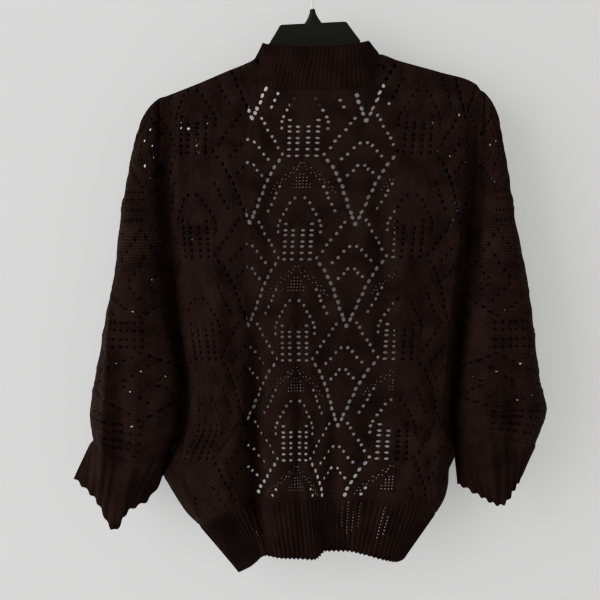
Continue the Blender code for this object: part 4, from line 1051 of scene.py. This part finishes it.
# The hem's lower edge, along the back's cloth
HEM_EDGE = columns(
    "cloth x down y",
    (0, -93, 775, 0.15), (22, -88, 771, 9), (50, -80, 766, 14), (85, -71, 759, 15),
    (108, -64, 752, 20), (124, -58, 748, 34), (150, -40, 750, 40), (181, -18, 751.5, 36),
    (205, 0, 752, 39), (222, 8, 748, 36), (235, 14, 743.5, 28), (270, 40, 743.5, 27),
    (300, 62, 747.5, 29), (340, 92, 756, 26), (375, 106, 758, 17), (398, 113, 757, 8),
    (410, 116, 755, 0.15),
)


def edge_at(table, column, at):
    """Points of an edge's table at places in one of its columns."""
    x, y, down = (through(table[column], table[name], at) for name in ("x", "y", "down"))
    return np.stack([x, y, -down], axis=1)


def along_line(points, share):
    """Points at shares of a line's own corners, straight between them."""
    place = np.clip(share, 0, 1) * (len(points) - 1)
    row = np.minimum(place.astype(int), len(points) - 2)
    part = (place - row)[:, None]
    return points[row] * (1 - part) + points[row + 1] * part


HEM_LONG = 72.0
# The hem's skins keep this far behind and before the middle plane, so each wall stays on its side
HEM_BEHIND, HEM_BEFORE = 2.3, 2.4
HEM_SEAM = (0, 0.5, 1.2)
HEM_STOPS = np.linspace(0, 1, 120)
hem_line = back_surface(HEM_STOPS, np.ones_like(HEM_STOPS))


def on_hem(a, b):
    edge = edge_at(HEM_EDGE, "cloth", a) * (1, -1, 1)
    share = (b / HEM_LONG)[:, None]
    mixed = (along_line(hem_line, a / BACK_CLOTH) + HEM_SEAM) * (1 - share) + edge * share
    near = np.minimum(a, BACK_CLOTH - a)
    mixed[:, 1] = np.minimum(mixed[:, 1], -HALF_GAP - HEM_BEHIND * round_edge(near, 3))
    mixed[:, 2] -= SCALLOP * (b / HEM_LONG) ** 3 * np.cos(2 * math.pi * a / RIB_PITCH)
    return mixed


# Light comes through pinholes in some of the rib's grooves: x at the seam, first and last row
RIB_LIGHT = (
    (-86, 6, 26), (-76, 3, 22), (27, 2, 20), (34, 5, 18), (41, 2, 24), (52, 8, 22), (61, 3, 19),
    (91, 4, 24), (98, 9, 20),
)
hem_across, hem_down = np.linspace(0, BACK_CLOTH, 343), np.linspace(0, HEM_LONG, 35)
groove = BACK_CLOTH / round(BACK_CLOTH / RIB_PITCH)
hem_pins = []
for x, first, last in RIB_LIGHT:
    at = np.interp(x, hem_line[:, 0], HEM_STOPS) * BACK_CLOTH
    at = (math.floor(at / groove) + 0.5) * groove
    i = int(np.argmin(np.abs(hem_across - at)))
    hem_pins += [(j, i) for j in range(first, last, 2)]
hem = knit_shell(
    "hem_back_rib", on_hem, hem_across, hem_down, -1, RIB_THICK, rib_knit, ((), hem_pins),
    ribbed(BACK_CLOTH, True), gauge=RIB_GAUGE,
)
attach(hem, "root")
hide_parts("hem_back")

HEM_FRONT_END = {"left": (-93.0, 0.15, -775.0), "right": (116.0, 0.15, -755.0)}
# How far the front hem's low end stands off its band
HEM_CLEAR = 0.5
FRONT_HEM_CLOTH, FRONT_HEM_LONG = 26.0, 62.0
for side in ("left", "right"):
    corner = np.array([HEM_FRONT_END[side]])
    start = front_surface(side, np.zeros(1), np.ones(1))

    def on_front_hem(a, b, side=side, corner=corner, start=start):
        u, v = a / FRONT_HEM_CLOTH, b / FRONT_HEM_LONG
        down = FRONT_END[side] + (BAND[side]["seam_down"][-1] - FRONT_END[side]) * v
        seam_x, seam_y = band_seam(side, down)
        final = np.stack([seam_x - AWAY[side] * HEM_CLEAR * v, seam_y, -down], axis=1)
        first = start * (1 - v[:, None]) + corner * v[:, None]
        base = first * (1 - u[:, None]) + final * u[:, None]
        base[:, 1] = np.maximum(base[:, 1], HALF_GAP + HEM_BEFORE)
        return base

    made = knit_shell(
        f"hem_front_{side}_rib", on_front_hem, np.linspace(0, FRONT_HEM_CLOTH, 23),
        np.linspace(0, FRONT_HEM_LONG, 16), 1 if side == "left" else -1, RIB_THICK, rib_knit,
        relief=ribbed(FRONT_HEM_CLOTH, True), gauge=RIB_GAUGE,
    )
    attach(made, "root")
    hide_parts(f"hem_front_{side}")

# The cuffs' openings, round from the overarm edge over the back and home over the front
CUFF_EDGE = {
    "left": columns(
        "turn x down y",
        (0, -303.5, 656.6, 0), (0.12, -273, 680, -20), (0.25, -248, 717.6, -27),
        (0.33, -232, 695, -24), (0.42, -207, 681, -17), (0.5, -190, 652, 0),
        (0.62, -213, 672, 17), (0.75, -243, 694, 25), (0.88, -274, 682, 18),
        (1, -303.5, 656.6, 0),
    ),
    "right": columns(
        "turn x down y",
        (0, 269, 641, 0), (0.12, 254, 664, -18), (0.25, 234, 687, -26), (0.38, 207, 675, -20),
        (0.5, 185, 663, 0), (0.62, 208, 672, 17), (0.75, 236, 677, 25), (0.88, 256, 660, 18),
        (1, 269, 641, 0),
    ),
}
CUFF_GATHERS = {"left": 7, "right": 9}
GATHER_DEPTH = 2.2
CUFF_AROUND, CUFF_LONG = 238.0, 66.0
CUFF_STOPS = np.linspace(0, 1, 40)
for side in ("left", "right"):
    behind = sleeve_surface(side, -1, CUFF_STOPS, np.ones_like(CUFF_STOPS))
    before = sleeve_surface(side, 1, CUFF_STOPS, np.ones_like(CUFF_STOPS))
    ring = np.concatenate([behind, before[::-1], behind[:1]])

    def on_cuff(a, b, side=side, ring=ring):
        u, v = a / CUFF_AROUND, b / CUFF_LONG
        low = edge_at(CUFF_EDGE[side], "turn", u)
        mixed = along_line(ring, u) * (1 - v[:, None]) + low * v[:, None]
        gather = GATHER_DEPTH * np.sin(2 * math.pi * u * CUFF_GATHERS[side]) * np.sin(math.pi * v)
        mixed[:, 1] += gather * np.sin(2 * math.pi * u)
        mixed[:, 2] -= CUFF_SCALLOP * v**3 * np.cos(2 * math.pi * a / CUFF_RIB_PITCH)
        return mixed

    made = knit_shell(
        f"cuff_{side}_rib", on_cuff, np.linspace(0, CUFF_AROUND, 199),
        np.linspace(0, CUFF_LONG, 17), 1 if side == "right" else -1, RIB_THICK, rib_knit,
        relief=ribbed(CUFF_AROUND, True, CUFF_RIB_PITCH), gauge=RIB_GAUGE,
    )
    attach(made, "root")
    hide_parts(f"cuff_{side}")

# The collar's top edge, at places along the back's cloth
COLLAR_TOP = columns(
    "share x down y",
    (0, -63, 105, -0.8), (0.06, -62.5, 106, -10), (0.14, -54, 110, -19), (0.32, -24, 113, -22.5),
    (0.5, 4, 113.5, -23), (0.68, 34, 112, -22.5), (0.86, 61, 107, -19), (0.94, 69, 103.5, -10),
    (1, 70.5, 102.5, -0.8),
)


def neck_places():
    """Where the neck's two corners lie across the back, as shares of its width."""
    u = np.linspace(0, 1, 2001)
    x = back_surface(u, np.zeros_like(u))[:, 0]
    return np.interp(NECK_LEFT, x, u), np.interp(NECK_RIGHT, x, u)


# Stations along the neck's seam, closer at its two ends
NECK_SHARES = np.concatenate([
    [0, 0.008, 0.02, 0.042], np.linspace(0.075, 0.925, 19), [0.958, 0.98, 0.992, 1],
])
COLLAR_AROUND, COLLAR_HIGH = 230.0, 57.0
COLLAR_SEAM = (0, 0.9, -1.6)
COLLAR_RIB_DEEP, COLLAR_BULGE = 0.9, 3.5
neck_low, neck_high = neck_places()
stations = np.arange(len(NECK_SHARES))
neck_fine = np.interp(np.linspace(0, stations[-1], 209), stations, NECK_SHARES)
neck_line = back_surface(neck_low + (neck_high - neck_low) * neck_fine, np.zeros_like(neck_fine))


def on_collar(a, b):
    u, v = a / COLLAR_AROUND, b / COLLAR_HIGH
    base = along_line(neck_line, u) + COLLAR_SEAM
    top = edge_at(COLLAR_TOP, "share", u)
    bulge = np.stack([np.zeros_like(u), -COLLAR_BULGE * np.sin(math.pi * v), np.zeros_like(u)], axis=1)
    return base * (1 - v[:, None]) + top * v[:, None] + bulge * np.sin(math.pi * u)[:, None]


collar = knit_shell(
    "collar_rib", on_collar, np.linspace(0, COLLAR_AROUND, 193), np.linspace(0, COLLAR_HIGH, 16),
    1, RIB_THICK, rib_knit, relief=ribbed(COLLAR_AROUND, True, deep=COLLAR_RIB_DEEP),
    gauge=RIB_GAUGE,
)
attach(collar, "root")
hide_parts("collar")

# ---------------------------------------------------------------- the label
# A small blank woven satin label, sewn inside the back neck. It shows through the lace as a plain
# dark patch, so it follows the back's own surface just inside it.

LABEL_LEFT, LABEL_RIGHT, LABEL_TOP = -29.0, 25.0, 169.0
LABEL_WIDE, LABEL_HIGH, LABEL_THICK = 54.0, 21.0, 0.6
# The back's top edge at the neck, its length below it, and how far the label hangs off it
NECK_DOWN, BACK_LONG, LABEL_OFF = 166.0, 511.0, 0.5
top_row = np.linspace(0, 1, 2001)
top_x = back_surface(top_row, np.zeros_like(top_row))[:, 0]
label_from, label_to = np.interp([LABEL_LEFT, LABEL_RIGHT], top_x, top_row)


def on_label(a, b):
    across = label_from + (label_to - label_from) * a / LABEL_WIDE
    along = (LABEL_TOP - NECK_DOWN + b) / BACK_LONG
    place = back_surface(across, along)
    waves = 0.25 * np.sin(a / LABEL_WIDE * 9) * np.sin(b / LABEL_HIGH * 3)
    place[:, 1] += LACE_THICK + LABEL_OFF + waves
    return place


def fine_skinned(name, colour, kind, pattern, strength, deep, **principled):
    """A stuff in one colour with a fine pattern on its skin, as deep as given in metres."""
    made, tree, shader = material(name, **principled)
    shader.inputs["Base Color"].default_value = linear(colour)
    place = add(tree, "ShaderNodeTexCoord")
    fine = add(tree, kind, [("Vector", place.outputs["Object"])], **pattern)
    bump = add(
        tree, "ShaderNodeBump", [("Height", fine.outputs["Fac"])], Strength=strength, Distance=deep
    )
    tree.links.new(bump.outputs["Normal"], shader.inputs["Normal"])
    return made


# the weft of a satin ribbon, drawn ten threads to a line because a single one is too fine to show
satin = fine_skinned(
    "woven satin ribbon", "1A1514", "ShaderNodeTexWave",
    dict(wave_type="BANDS", bands_direction="Z", Scale=600.0, Distortion=0.4), 0.4, 0.0002,
    Roughness=0.5,
)

label = knit_shell(
    "label_satin", on_label, np.linspace(0, LABEL_WIDE, 28), np.linspace(0, LABEL_HIGH, 12), -1,
    LABEL_THICK, satin,
)
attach(label, "root")
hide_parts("label")

# ---------------------------------------------------------------- the hanger
# A moulded hanger with a satin skin from the mould, and a plated wire hook screwed into its neck.
# Both are the CAD's own solids, which only get their materials here.

# polypropylene keeps the spark-eroded mould's fine grain, which dulls its gloss
plastic = fine_skinned(
    "moulded polypropylene", "070806", "ShaderNodeTexNoise", dict(Scale=900.0, Detail=2), 0.15,
    0.0002, Roughness=0.5, IOR=1.49, Specular_IOR_Level=0.1,
)
# drawn wire with a bright plating that shows the die's faint marks
wire = fine_skinned(
    "nickel plated wire", "B9B8B4", "ShaderNodeTexNoise", dict(Scale=500.0, Detail=2), 0.1, 0.0001,
    Roughness=0.28, Metallic=1.0,
)
for node, stuff in (("hanger_body", plastic), ("hanger_hook", wire)):
    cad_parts[node].data.materials.clear()
    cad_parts[node].data.materials.append(stuff)
